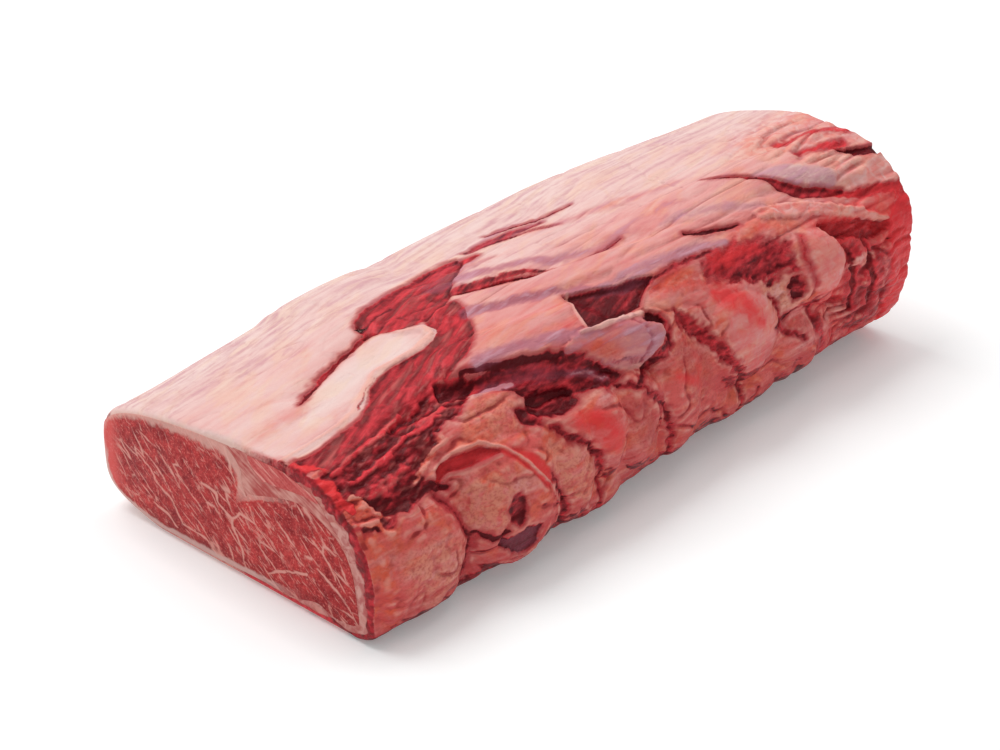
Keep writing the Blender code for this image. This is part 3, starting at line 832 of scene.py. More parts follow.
# What lies on the skin, from the lowest layer up
MARKS = (
    # Pale fat near the small cut
    patch((-20, 330), (90, 370), (135, 400), (110, 450), (120, 500), (-20, 500), edge=14, ragged=3,
          rosy=0.26, silver=0.08),
    stroke((4, 395, 1), (20, 405, 4), (36, 425, 1), edge=7, ragged=3, rosy=0.55),
    # Red and orange rags towards the large end
    patch((366, 480), (395, 500), (460, 520), (460, 300), (405, 330), (380, 400), edge=16, ragged=3,
          rosy=0.4, ochre=0.34, scarlet=0.16, ragged_end=1.1),
    patch((345, 330), (380, 340), (460, 330), (460, 80), (380, 80), (350, 220), edge=10, ragged=2,
          rosy=0.76, ochre=0.2, scarlet=0.55, stain=0.1, ragged_end=1),
    patch((352, 236), (372, 240), (420, 200), (420, 130), (356, 125), edge=8, ragged=3.4, lean=0.48,
          maroon=0.25, scarlet=0.35),
    # Red meat that shows between and under the pads
    stroke((4, 250, 6), (30, 236, 4), (52, 238, 3), (62, 228, 1.5), lift=-1.5, ragged=1, lean=0.9,
           maroon=0.55),
    stroke((50, 232, 2), (60, 205, 2.2), (66, 170, 2), (62, 130, 2.6), edge=2.4, lift=-1, ragged=1.4,
           lean=0.55, maroon=0.3, stain=0.8),
    stroke((-2, 310, 4), (-2, 250, 5), (-2, 200, 4.8), (-2, 150, 4.2), (-2, 90, 6), (-2, 30, 7),
           (-2, -30, 5), edge=1.2, ragged=1, lean=1, maroon=0.42),
    # Dark red band along the foot of the rib side: dark meat, and painted shade where the pads meet the
    # floor
    stroke((10, 104, 8), (50, 104, 8), (100, 108, 8.5), (150, 110, 8), (220, 112, 8.5), (300, 116, 8),
           (380, 122, 9), (430, 126, 9.5), edge=5, ragged=2.5, lean=0.8, maroon=0.45, scarlet=0.1),
    stroke((100, 126, 2), (116, 134, 5), (132, 126, 2), edge=3, ragged=2, lean=0.9, maroon=0.6),
    stroke((200, 128, 2), (216, 136, 4), (232, 128, 2), edge=3, ragged=2, lean=0.9, maroon=0.5),
    # Orange edge of the first pad
    stroke((6, 232, 3), (9, 200, 3.4), (10, 160, 3.6), (12, 115, 4), edge=3.5, ragged=1, lift=0.8, lean=0,
           ochre=1, rosy=1),
    stroke((20, 232, 2.4), (35, 228, 3), (48, 218, 2.4), edge=3.5, ragged=1, ochre=0.7, rosy=1),
    # Red film on the pads, where the fat is thin
    patch((91, 244), (101, 238), (112, 222), (119, 198), (114, 184), (106, 208), (97, 228), edge=1.6,
          lift=-1.2, lean=0, scarlet=0.72, rosy=1, calm=1),
    patch((136, 236), (153, 243), (166, 226), (174, 200), (164, 180), (154, 200), (146, 216), edge=4,
          lean=0, scarlet=0.46, rosy=0.95, calm=1),
    stroke((144, 234, 3), (156, 228, 4), (164, 208, 2), edge=4, scarlet=0.62),
    patch((262, 292), (278, 300), (296, 288), (306, 250), (302, 205), (288, 180), (272, 195), (264, 240),
          edge=6, lean=0, rosy=0.6, scarlet=0.34, calm=1),
    stroke((268, 288, 5), (280, 272, 6), (290, 246, 3), edge=6, scarlet=0.78),
    stroke((240, 235, 4), (240, 200, 5), edge=4, scarlet=0.35, rosy=1),
    stroke((220, 228, 3), (236, 212, 3), edge=3, scarlet=0.55, rosy=1),
    # Tan, rubbed fat on the tops of the pads
    patch((20, 190), (40, 196), (60, 170), (56, 130), (34, 118), (20, 150), edge=7, ragged=1, tan=0.9,
          rosy=0.9),
    patch((68, 232), (88, 232), (102, 200), (92, 166), (70, 170), (62, 200), edge=5, ragged=1, tan=1,
          rosy=0.85),
    patch((122, 232), (136, 212), (150, 182), (146, 140), (128, 150), (118, 200), edge=4, ragged=1, tan=1,
          rosy=0.85),
    patch((178, 236), (194, 222), (208, 190), (204, 155), (184, 170), (172, 212), edge=4.5, ragged=1,
          tan=0.6, rosy=1, stain=0.5),
    patch((298, 274), (313, 284), (331, 268), (329, 234), (308, 240), edge=4, ragged=1, tan=1, rosy=0.5),
    patch((226, 268), (246, 246), (258, 205), (246, 170), (230, 190), (220, 235), edge=4.5, ragged=1,
          tan=0.6, rosy=1, stain=0.5),
    patch((80, 285), (100, 296), (116, 286), (122, 262), (108, 250), (86, 258), edge=4.5, ragged=1.4,
          tan=0.8, ochre=0.5, rosy=0.9),
    # Grooves between the pads
    stroke((58, 238, 1), (65, 248, 3), (76, 246, 3.4), (86, 245, 2.8), (92, 241, 0.6), lift=-2.6, lean=1,
           maroon=0.22, scarlet=0.55, calm=1),
    stroke((60, 250, 0.4), (70, 258, 0.7), (85, 256, 0.8), (94, 246, 0.9), (104, 221, 0.9),
           (115, 193, 0.7), (121, 165, 0.5), (122, 140, 0.3), lift=1.3, edge=1, ragged=0.6, lean=0,
           rosy=0.8, scarlet=0, stain=0, silver=0.2),
    stroke((129, 239, 0.8), (134, 224, 1.5), (145, 211, 1.6), (153, 192, 1.6), (157, 168, 1.3),
           (158, 130, 1), torn=2.4, edge=1.6, lift=-1.6, lean=0.85, maroon=0.15, scarlet=0.15),
    stroke((118, 200, 0.6), (123, 175, 1.4), (128, 150, 2), (128, 115, 3), torn=2, ragged=1, edge=1.6,
           lift=-1.4, lean=0.85, maroon=0.25),
    stroke((178, 246, 1), (189, 238, 1.3), (202, 218, 1.4), (210, 195, 1.5), (215, 168, 1.3),
           (216, 120, 1), torn=2.4, edge=1.6, lift=-1.6, lean=0.85, maroon=0.12, scarlet=0.15),
    stroke((236, 286, 1.6), (243, 270, 2.8), (252, 247, 3), (262, 222, 2.6), (272, 200, 2),
           (282, 170, 1.4), (288, 130, 1), torn=2.8, ragged=0.8, edge=2, lift=-2, lean=0.85, maroon=0.15,
           ochre=0.3, scarlet=0.2),
    stroke((308, 262, 1), (314, 240, 1.6), (318, 215, 2), (334, 196, 1.6), edge=1.8, ragged=1.8,
           lift=-1.4, lean=0.85, maroon=0.15, scarlet=0.2),
    stroke((343, 240, 1.4), (350, 205, 3.4), (356, 160, 3), (352, 120, 3), edge=3.4, ragged=2, lift=-1.4,
           lean=0.85, maroon=0.25, scarlet=0.15),
    # Dark pits in the pads
    patch((85, 194), (94, 200), (98, 184), (95, 166), (87, 172), ragged=1.6, edge=1.8, lift=-1.6,
          lean=0.95, maroon=0.4),
    patch((78, 164), (90, 156), (104, 162), (109, 150), (102, 132), (90, 136), (80, 150), ragged=1.4,
          edge=1.6, lift=-2.4, lean=1, maroon=0.7, silver=0.55),
    stroke((82, 132, 0.4), (96, 126, 0.6), (108, 134, 0.6), (114, 150, 0.5), edge=0.9, ragged=0.6,
           lift=0.9, lean=0, rosy=0.8, silver=0.3, stain=0.3),
    stroke((68, 176, 1), (76, 164, 1.6), (84, 168, 0.8), ragged=1.4, lift=-1, lean=0.9, maroon=0.6),
    patch((322, 275), (332, 275), (334, 254), (327, 244), ragged=2, edge=2, lift=-3, lean=1, maroon=0.35),
    stroke((304, 226, 1), (315, 224, 2), (326, 230, 1), ragged=1.4, lift=-1, lean=0.8, maroon=0.4),
    # Dark, columned meat and the bright rim of the large end
    patch((368, 300), (386, 290), (407, 280), (422, 250), (422, 160), (389, 160), (368, 235), edge=9,
          ragged=3, lift=-1, lean=0.68, maroon=0.24, scarlet=0.25),
    stroke((374, 286, 1.4), (379, 250, 2), (380, 210, 1.8), ragged=1.6, lift=-1.4, lean=1, maroon=0.6),
    stroke((392, 284, 1.4), (396, 250, 2.2), (398, 200, 2), ragged=1.6, lift=-1.4, lean=1, maroon=0.62),
    stroke((386, 276, 1), (388, 240, 1.8), (390, 180, 1.4), ragged=2.4, edge=4, lean=0.45, rosy=1,
           scarlet=0.2),
    stroke((407, 270, 1), (409, 230, 2), (411, 180, 1.4), ragged=2.4, edge=4, lean=0.45, rosy=1,
           scarlet=0.3),
    patch((414, 320), (452, 330), (452, 80), (424, 100), (418, 200), (414, 270), edge=4, ragged=2,
          lift=0.8, lean=0.85, maroon=0.05, scarlet=0.55),
    patch((358, 322), (383, 314), (408, 306), (418, 290), (400, 282), (380, 292), (362, 302), ragged=1.6,
          edge=1.6, lift=-3.6, lean=1, maroon=0.55),
    stroke((356, 452, 1), (372, 446, 3), (392, 436, 1), edge=4, ragged=3, rosy=0.35, scarlet=0,
           ochre=0.3),
    stroke((400, 394, 1), (416, 402, 3), (432, 404, 1), edge=4, ragged=3, rosy=0.45, scarlet=0,
           ochre=0.3),
    stroke((372, 262, 1), (384, 266, 2), (398, 262, 1), edge=3, ragged=3, rosy=0.6, lean=0.2,
           scarlet=0.2),
    stroke((356, 196, 1), (366, 206, 3), (378, 204, 1), edge=4, ragged=3, rosy=0.6, lean=0.1,
           scarlet=0.1),
    # Pale bulge beside them
    patch((336, 306), (348, 318), (362, 310), (370, 280), (366, 250), (350, 244), (338, 262), edge=6,
          ragged=1.6, lift=1.2, lean=0, rosy=0.54, scarlet=0.34, ochre=0, calm=1, ragged_end=0,
          silver=0.15, stain=0),
    # Shallow groove round the bulge, its red painted as shade
    stroke((340, 262, 0.5), (336, 290, 1), (342, 312, 0.8), edge=2, ragged=1.2, lift=-0.6, lean=0.6,
           maroon=0.2, scarlet=0.2),
    # Scarlet, bruised meat above the seventh pad
    patch((262, 314), (278, 330), (299, 330), (320, 322), (334, 300), (322, 278), (300, 280), (280, 296),
          (264, 300), edge=7, ragged=3, lift=-1.2, lean=0.7, maroon=0.22, ochre=0.3),
    stroke((278, 316, 4), (298, 320, 4), (310, 314, 2), edge=5, ragged=2, scarlet=0.62, maroon=0.1),
    stroke((284, 298, 2), (296, 294, 4), (312, 284, 3), edge=4, ragged=3, lean=1, maroon=0.36, lift=-1),
    stroke((304, 300, 2), (320, 294, 3), (328, 284, 1), edge=4, ragged=3, lean=1, maroon=0.26, lift=-0.8),
    # Orange lumps between the slits and the pads
    stroke((226, 318, 4), (246, 316, 6), (262, 306, 5), edge=5, ragged=2, lift=0.8, lean=0, rosy=0.95,
           ochre=0.5, scarlet=0.25, craggy=0.55),
    stroke((300, 340, 3), (326, 334, 3.6), (350, 326, 3), edge=5, ragged=2, lift=0.6, rosy=0.82,
           ochre=0.45, scarlet=0.2, craggy=0.4),
    # Silver skin that lies slack below the dark window, over a sunken gap whose dark red is painted shadow
    stroke((216, 300, 1), (225, 284, 2.6), (223, 264, 3), (210, 248, 2.6), (192, 243, 1.2), torn=2.4,
           ragged=1.4, edge=2.2, lift=-1.8, lean=0.85, maroon=0.32),
    patch((174, 310), (196, 308), (212, 304), (214, 290), (221, 280), (214, 262), (202, 253), (190, 249),
          (180, 266), (166, 276), (154, 280), (152, 302), edge=1, ragged=1.6, lift=1.2, lip=0.2, lean=0,
          silver=0.45, rosy=0.8, calm=0.7, stain=0.3),
    stroke((198, 292, 3), (210, 276, 4), (206, 262, 2), edge=6, ragged=2, silver=0.9),
    stroke((204, 300, 0.4), (209, 286, 1), (207, 270, 1), (200, 258, 0.6), edge=1.6, ragged=1.6, lift=-1,
           stain=1),
    stroke((178, 268, 1), (194, 262, 2), (206, 254, 1), edge=3, ragged=2, lean=0.6, maroon=0.3,
           silver=0.8),
    stroke((162, 291, 3.5), (176, 286, 4), (186, 274, 3), edge=4, silver=0.15, rosy=0.95, ochre=0.4),
    # Lean swept bare from the small cut up to the lean patch
    patch((2, 334), (17, 326), (32, 335), (42, 337), (52, 343), (62, 360), (70, 375), (80, 384),
          (92, 388), (108, 388), (122, 396), (128, 431), (137, 445), (150, 448), (147, 416), (139, 388),
          (128, 360), (112, 340), (94, 332), (76, 321), (58, 314), (44, 310), (30, 304), (12, 292),
          ragged=1, edge=1.6, lift=-1.2, lean=1, maroon=0.28, grainy=1),
    # Dark ragged meat below it
    patch((2, 300), (14, 296), (30, 304), (44, 310), (58, 314), (76, 324), (94, 338), (106, 330),
          (102, 306), (90, 294), (80, 291), (69, 283), (62, 268), (54, 252), (46, 236), (34, 234),
          (25, 230), (17, 220), (8, 220), (2, 240), ragged=2.2, edge=1.8, lift=-1.8, lean=1, maroon=0.46,
          grainy=0.7, craggy=1),
    stroke((12, 292, 1), (30, 303, 1.4), (50, 312, 1.2), (66, 325, 0.8), ragged=1.2, lift=1.2, lean=0.75,
           rosy=0.8, maroon=0.05),
    stroke((18, 276, 0.8), (30, 282, 1.4), (44, 284, 1.2), (56, 296, 0.6), ragged=1.6, lift=1.2, lean=0.8,
           maroon=0.05, rosy=0.8),
    stroke((22, 252, 2), (34, 258, 2.6), (46, 266, 1.6), ragged=2, edge=2, lift=1, lean=0.7, rosy=0.95,
           ochre=0.4, maroon=0.1),
    stroke((60, 296, 1.2), (72, 300, 2), (84, 308, 1.2), ragged=1.6, lift=1.2, lean=0.75, maroon=0.05,
           rosy=0.9),
    stroke((46, 248, 1.6), (58, 262, 2.4), (68, 276, 2), ragged=1.6, edge=2, lift=0.8, lean=0.3, rosy=1,
           ochre=0.7),
    stroke((8, 246, 1.2), (16, 242, 2.2), (22, 232, 1), edge=2, ragged=2.4, lift=1, lean=0.25, rosy=1,
           ochre=0.8, maroon=0.1),
    stroke((10, 232, 1), (16, 224, 1.8), (20, 212, 1), edge=2, ragged=2.4, lift=0.8, lean=0.2, rosy=1,
           ochre=0.7),
    # Knob of orange fat beside the cut, and bright blood along the rim
    patch((3, 262), (9, 264), (17, 254), (21, 238), (14, 226), (3, 234), edge=2, ragged=2.2, lift=1.4,
          lean=0.25, rosy=1, ochre=0.8, craggy=0.6),
    stroke((2, 330, 2), (5, 318, 2.6), (8, 308, 2.4), (10, 302, 1.2), ragged=1.2, edge=2, lift=0.6,
           lean=1, maroon=0.1, scarlet=0.85),
    stroke((4, 294, 1.6), (7, 284, 2.8), (7, 273, 2), (6, 266, 1), ragged=1.2, edge=1.6, lift=0.6, lean=1,
           maroon=0.1, scarlet=1),
    stroke((6, 262, 1.4), (8, 254, 2.2), (8, 248, 1), ragged=1, lean=1, maroon=0.1, scarlet=0.9),
    stroke((-5, 400, 1.6), (-3, 385, 2), (0, 368, 2.4), (0, 350, 2.6), (1, 335, 3), (2, 318, 3),
           ragged=0.8, edge=1.4, lean=1, maroon=0.2, scarlet=0.75),
    # Pale sheet of fat with a lip, between the slit and the bared lean
    patch((4, 336), (17, 330), (32, 339), (52, 347), (62, 364), (70, 379), (80, 388), (92, 391),
          (108, 389), (122, 397), (128, 412), (122, 431), (115, 437), (105, 448), (93, 446), (76, 441),
          (61, 427), (48, 416), (30, 440), (4, 440), ragged=0.6, lean=0, silver=0, stain=0, maroon=0,
          grainy=0, rosy=0.19),
    stroke((36, 380, 4), (55, 396, 6), (80, 412, 7), (106, 414, 7), edge=6, ragged=1.4, rosy=0),
    stroke((10, 395, 2), (34, 402, 4), (46, 412, 1), edge=6, ragged=2.4, rosy=0.35, ochre=0.2),
    stroke((16, 350, 1), (40, 356, 2), (56, 368, 1), edge=4, ragged=2, rosy=0.4),
    stroke((4, 340, 1.6), (32, 344, 1.8), (50, 353, 1.8), (64, 374, 1.8), (80, 394, 1.8), (106, 395, 1.8),
           (121, 402, 1.8), (122, 420, 1.8), (112, 434, 1.6), edge=2.2, ragged=0.6, lift=1.4, rosy=0.3),
    stroke((52, 352, 0.8), (66, 374, 0.8), (78, 386, 0.6), edge=1, ragged=1, lean=0.6, maroon=0.2),
    # Lean patch that the slit opens into
    patch((102, 455), (105, 482), (118, 498), (132, 507), (146, 513), (160, 520), (174, 528), (192, 530),
          (196, 512), (178, 486), (164, 466), (153, 444), (138, 436), (128, 430), (122, 434), (115, 439),
          (108, 446), ragged=1, edge=1.6, lift=-2.2, lean=1, maroon=0.25, grainy=0.8),
    stroke((106, 452, 1), (116, 440, 1.2), (124, 433, 1.2), ragged=0.6, lift=-1.2, lean=1, maroon=0.75),
    stroke((106, 470, 0.6), (118, 478, 0.8), (132, 486, 0.6), ragged=0.8, lean=1, maroon=0.7, lift=-0.6),
    stroke((118, 460, 1), (134, 468, 1.4), (150, 476, 0.8), ragged=1, edge=2, lean=0.75, maroon=0.1,
           rosy=0.7, lift=0.5),
    stroke((42, 410, 0.6), (52, 424, 2.2), (61, 431, 1.3), (70, 439, 2.2), (80, 446, 1.2), (86, 448, 2.4),
           (94, 451, 1.6), (106, 458, 3), edge=1.1, ragged=1.2, lift=-2, lean=1, maroon=0.15,
           scarlet=0.15, silver=0.1),
    stroke((182, 508, 2), (192, 506, 3.8), (201, 505, 1.2), ragged=0.8, lift=-1, edge=1.4, lean=1,
           maroon=0.12),
    stroke((160, 498, 4), (180, 490, 4), (200, 484, 2), edge=5, ragged=1.4, silver=0.55, rosy=0.6),
    # Broad pale straps along the top, parted by slits with silver skin beside them
    stroke((158, 482, 3), (177, 467, 4), (190, 452, 4), (204, 437, 4), (215, 418, 3.4), (232, 408, 1.4),
           edge=3.4, ragged=1.4, silver=0.9, rosy=0.55),
    stroke((152, 462, 3), (166, 450, 3.6), (181, 440, 3), (196, 424, 2), (208, 410, 0.8), edge=2.8,
           ragged=1.4, lean=0.8, maroon=0.44, stain=0.8),
    stroke((156, 452, 1), (170, 438, 1.1), (181, 432, 1.1), (190, 422, 1), (200, 411, 1.2),
           (208, 401, 1.2), (216, 397, 1.4), (225, 396, 1), (238, 400, 0.4), (252, 402, 0.3), edge=0.7,
           ragged=0.5, lift=-2, lean=1, maroon=0.48),
    stroke((224, 403, 2), (246, 408, 2.6), (272, 412, 2), (300, 408, 1), edge=4, ragged=1.4, silver=0.55,
           rosy=0.7),
    stroke((203, 526, 2.2), (221, 524, 4), (233, 522, 4), (248, 512, 2), edge=3, ragged=1, lift=-0.6,
           lean=0.75, maroon=0.3, silver=0.5),
    stroke((203, 519, 0.8), (215, 519, 1.2), (226, 513, 1.3), (239, 502, 1.4), (250, 487, 0.5), edge=0.7,
           ragged=0.5, lift=-2, lean=1, maroon=0.55),
    stroke((225, 545, 0.6), (243, 533, 1.2), (256, 520, 0.8), (272, 512, 0.4), edge=1, ragged=0.8,
           lift=-1.2, lean=0.9, maroon=0.5),
    stroke((236, 500, 3), (262, 482, 3.4), (292, 462, 3), (320, 452, 1.4), edge=5, ragged=1.6, silver=0.4,
           rosy=0.6),
    stroke((143, 406, 2.6), (160, 387, 3.2), (174, 376, 3.2), (190, 363, 2.8), (208, 351, 1.2), edge=3,
           ragged=1.4, silver=0.95, rosy=0.75, stain=0.5),
    stroke((114, 329, 3), (133, 326, 3.8), (150, 320, 3.8), (168, 309, 3.2), (180, 300, 1.4), edge=3,
           ragged=1.2, lean=0, silver=1, rosy=0.7, stain=0.2),
    stroke((276, 390, 2), (302, 380, 3.6), (319, 369, 3.8), (335, 360, 1.6), edge=3, ragged=1.2,
           silver=0.7, rosy=0.42),
    stroke((276, 362, 0.6), (284, 354, 1.6), (293, 351, 1), (310, 346, 0.4), edge=0.8, ragged=0.6,
           lift=-1.8, lean=1, maroon=0.5),
    stroke((210, 347, 1.8), (232, 343, 3.8), (252, 342, 3.8), (271, 341, 3.2), (293, 335, 2), edge=2.6,
           ragged=1, silver=0.85, rosy=0.55),
    stroke((232, 326, 1), (256, 331, 1.4), (280, 330, 1), ragged=1, lift=-1.2, edge=1.6, lean=0.75,
           maroon=0.35),
    # Slack fold of pink fat below the large end's silver lens
    stroke((327, 350, 3), (343, 348, 4.4), (360, 342, 4.4), (376, 330, 3.4), (396, 316, 2.8),
           (412, 300, 2), ragged=1.2, edge=1.6, lift=1.6, lip=0.5, lean=0, rosy=0.5, scarlet=0.28,
           ochre=0.35, stain=0),
    patch((346, 406), (356, 410), (366, 407), (380, 396), (396, 376), (394, 362), (385, 358), (371, 363),
          (360, 382), edge=2.6, ragged=1.4, lift=-0.4, silver=0.62, rosy=0.1, lean=0, scarlet=0, ochre=0,
          calm=1, ragged_end=0, stain=0),
    stroke((326, 428, 0.5), (343, 410, 0.8), (352, 396, 1.6), (358, 380, 3.8), (366, 366, 5),
           (378, 358, 4.4), (393, 352, 1.6), edge=1.2, ragged=0.6, lift=-2.2, lean=1, maroon=0.3,
           silver=0, scarlet=0.1),
    stroke((384, 352, 1.8), (402, 340, 2.6), (421, 334, 3), (442, 326, 4), ragged=1.4, edge=2, lift=-1.4,
           lean=0.9, maroon=0.2, scarlet=0.5),
    stroke((412, 404, 1), (422, 391, 3.2), (436, 383, 3), (446, 380, 2), ragged=1.2, lift=-3, lean=1,
           maroon=0.85),
    stroke((388, 420, 1), (404, 412, 2.2), (420, 410, 3), ragged=1.6, edge=3, lift=-1, lean=0.8,
           maroon=0.1, scarlet=0.4),
    stroke((392, 450, 2), (415, 440, 3), (440, 430, 5), edge=5, ragged=2.4, lean=0.7, maroon=0.1,
           scarlet=0.45, lift=-0.8),
    # The dark window through the straps, and the trench and hollow below them
    # The trench, whose mauve towards its upper side is silver skin lightened as a painted sheen
    patch((93, 340), (103, 325), (120, 317), (138, 309), (153, 305), (162, 290), (172, 275), (188, 254),
          (176, 248), (166, 253), (154, 257), (140, 262), (127, 263), (126, 276), (117, 294), (107, 300),
          (97, 308), (87, 321), ragged=1.4, edge=1.2, lift=-2, lean=1, maroon=0.42, grainy=0, craggy=0,
          silver=0.2, calm=0.8),
    stroke((108, 312, 2), (125, 303, 4), (142, 293, 4), (158, 280, 2), edge=4, ragged=1.4, silver=0.6,
           maroon=0.26),
    stroke((104, 330, 0.8), (122, 318, 1.2), (142, 308, 1), (156, 300, 0.6), ragged=0.8, lift=-1, lean=1,
           maroon=1),
    patch((124, 276), (135, 279), (154, 269), (152, 246), (138, 241), (124, 256), ragged=1.2, edge=1.8,
          lift=-3.4, lean=1, maroon=0.48, scarlet=0.05),
    stroke((100, 300, 1.4), (112, 302, 2.6), (124, 298, 1.8), ragged=1.2, edge=2, lift=1.4, lean=0.1,
           silver=0.95, rosy=0.8),
    stroke((156, 280, 1), (166, 270, 2.2), (176, 258, 1.4), ragged=1, edge=2, lift=0.8, lean=0.4,
           silver=0.8, maroon=0.3),
    patch((114, 272), (128, 264), (126, 244), (112, 254), ragged=1.4, lift=-1.4, lean=1, edge=1.6,
          maroon=0.4),
    patch((186, 359), (203, 350), (218, 341), (236, 331), (225, 319), (217, 308), (196, 307), (177, 308),
          (181, 333), sharp=1, edge=0.8, ragged=0.3, lift=-3.4, lean=1, maroon=0.54, silver=0, ochre=0,
          grainy=0),
    # Raised lip along the window's lower edge, painted pale as a highlight along it
    stroke((170, 307, 0.8), (184, 305, 1.3), (200, 305, 1.3), (216, 301, 0.8), edge=0.8, ragged=0.4,
           lift=1.2, lean=0, rosy=0.25, silver=0.3, stain=0),
    stroke((176, 312, 0.6), (180, 332, 1), (186, 354, 1), (190, 360, 0.4), edge=0.8, ragged=0.4, lift=0.8,
           lean=0, rosy=0.45, stain=0.2),
    stroke((200, 346, 1.6), (218, 337, 3.4), (234, 328, 1.6), edge=3.4, lean=0.8, maroon=0.44,
           silver=0.65),
    stroke((212, 294, 1.2), (218, 294, 2.8), (224, 285, 1.4), ragged=1.2, lift=-2.2, lean=1, maroon=0.75),
)
TINTS = ("lean", "maroon", "silver", "scarlet", "rosy", "ochre", "tan", "grainy", "stain")
# Marks also say where the skin is craggy, ragged as at the large end, or smooth
FORMS = ("craggy", "ragged_end", "calm")
# How far beyond its path or corners a mark is laid at most
MARK_MARGIN = 0.014
# How far noise moves the edge of a mark that is ragged or torn by 1
WANDER = 0.0016
SHIVER = 0.0009
LIP_BREADTH = 0.0014
STAIN_REACH = 0.0050


def patch_depth(a, b, corners):
    """How far inside a many-cornered patch each place is, negative outside: the distance to its
    nearest side, with the sign from how often a line from the place crosses its sides."""
    near = np.full(np.shape(a), 1.0)
    inside = np.zeros(np.shape(a), bool)
    for (a0, b0), (a1, b1) in zip(corners, corners[1:] + corners[:1]):
        run = np.array([a1 - a0, b1 - b0])
        q = np.clip(((a - a0) * run[0] + (b - b0) * run[1]) / (run @ run), 0, 1)
        near = np.minimum(near, np.hypot(a - a0 - q * run[0], b - b0 - q * run[1]))
        if b1 != b0:
            inside ^= ((b0 > b) != (b1 > b)) & (a < a0 + run[0] * (b - b0) / run[1])
    return np.where(inside, near, -near)


def creases(points, sizes, seed, narrow):
    """Narrow valleys, from 0 down to -1, along the lines where a bent noise passes through 0."""
    bend = np.stack([rough(points, np.array(sizes) * 1.6, seed + k) for k in (3, 6, 9)], axis=-1)
    level = rough(points + 0.4 * bend * np.array(sizes), sizes, seed)
    return -np.exp(-(level / narrow) ** 2)


def softened(values, reach):
    """Mean of a grid over a square of its neighbours: along it with held ends, and round it."""
    rows = np.arange(len(values))
    steps = range(-reach, reach + 1)
    values = sum(values[np.clip(rows + step, 0, len(values) - 1)] for step in steps) / len(steps)
    return sum(np.roll(values, step, axis=1) for step in steps) / len(steps)


def large_relief(s, share):
    """Pads, straps and clefts of the solid: domes and bands with eased edges, less Gaussian trenches."""
    around = share * GIRTH
    pads = np.zeros(s.shape)
    for at, pad_share, half_length, half_breadth, height in PADS:
        far = ((s - at) / half_length) ** 2 + ((share - pad_share) * GIRTH / half_breadth) ** 2
        pads = np.maximum(pads, height * np.clip(1 - far ** 1.5, 0, 1))
    straps = np.zeros(s.shape)
    for path, half_breadth, height in STRAPS:
        far = -stroke_depth(s, around, [(a, v * GIRTH, 0) for a, v in path]) / half_breadth
        straps = np.maximum(straps, height * (1 - smooth_between(0.6, 1.2, far)))
    clefts = np.zeros(s.shape)
    for path, half_breadth, depth in CLEFTS:
        far = -stroke_depth(s, around, [(a, v * GIRTH, 0) for a, v in path]) / half_breadth
        clefts = np.maximum(clefts, depth * np.exp(-far ** 2))
    return pads + straps - clefts


def painted(s, share, plain):
    """Lift and tints of the skin: the marks laid over each other in order, each blended in by how far
    inside it a place is, after noise has moved the place a little. Beside a gap the fat is stained."""
    around = share * GIRTH
    wander = [WANDER * rough(plain, (0.007, 0.012, 0.007), seed) for seed in (31, 47)]
    shiver = [SHIVER * rough(plain, (0.0024, 0.003, 0.0024), seed) for seed in (59, 71)]
    lift = np.zeros(s.shape)
    tints = {name: np.zeros(s.shape) for name in TINTS + FORMS}
    tints["rosy"] = round_girth(share, ROSY_GIRTH)
    # Painted shade round the girth, laid as silver skin under the marks
    tints["silver"] = round_girth(share, SILVER_SHADE_GIRTH)
    for mark in MARKS:
        places = [at[:2] for at in mark["path"]]
        low = np.min(places, axis=0) - MARK_MARGIN
        high = np.max(places, axis=0) + MARK_MARGIN
        box = (s > low[0]) & (s < high[0]) & (around > low[1]) & (around < high[1])
        ragged = mark.get("ragged", 0.5)
        torn = mark.get("torn", ragged)
        a = (s + ragged * wander[0] + torn * shiver[0])[box]
        b = (around + ragged * wander[1] + torn * shiver[1])[box]
        if "patch" in mark:
            inside = patch_depth(a, b, mark["patch"])
        else:
            inside = stroke_depth(a, b, mark["path"])
        edge = mark.get("edge", 0.0010)
        cover = smooth_between(-edge, edge, inside)
        sunken = mark.get("lift", 0)
        lift[box] += sunken * cover + mark.get("lip", 0) * np.exp(-(inside / LIP_BREADTH) ** 2)
        if mark.get("lean", 0) > 0.5 and sunken < 0:
            beside = mark.get("stain", 0.8) * smooth_between(-STAIN_REACH, 0.0005, inside)
            tints["stain"][box] = np.maximum(tints["stain"][box], beside)
        elif "lean" in mark:
            tints["stain"][box] *= 1 - cover
        for name in TINTS + FORMS:
            if name in mark:
                tints[name][box] += (mark[name] - tints[name][box]) * cover
    return lift, tints


# Even rows along the skin, rows round each cut's edge and down its fat, and rows inside the wall
SKIN_ROWS = 590
ROUND_ROWS = 6
FAT_FACE_ROWS = 9
WALL_ROWS = 12
WALL_TUCK = 0.0010
# Heights of the low relief: fibres of bared lean, crags and rags, creases wide and fine in the pads,
# creases of the straps and of the cover fat, and unevenness
FIBRE_RELIEF = 0.0008
CRAG_RELIEF = 0.0018
PAD_CREASE = 0.0011
PAD_FINE_CREASE = 0.0004
STRAP_CREASE = 0.0008
COVER_CREASE = 0.0005
SWELL = 0.0003
SWELL_ON_PADS = 0.0004
PIMPLE = 0.00008
PIMPLE_ON_PADS = 0.00036
# Lifts at which a hollow and a crease read as full in the material's painted shade and highlight
FULL_HOLLOW = 0.004
FULL_CAVITY = 0.0007
# The four bands, as (name, first share of the girth, last share, columns)
BANDS = (
    ("rib_side_pads", 0.075, 0.275, 140),
    ("top_straps", 0.275, 0.475, 140),
    ("cover_fat", 0.475, 0.720, 124),
    ("underside_fat", 0.720, 1.075, 96),
)


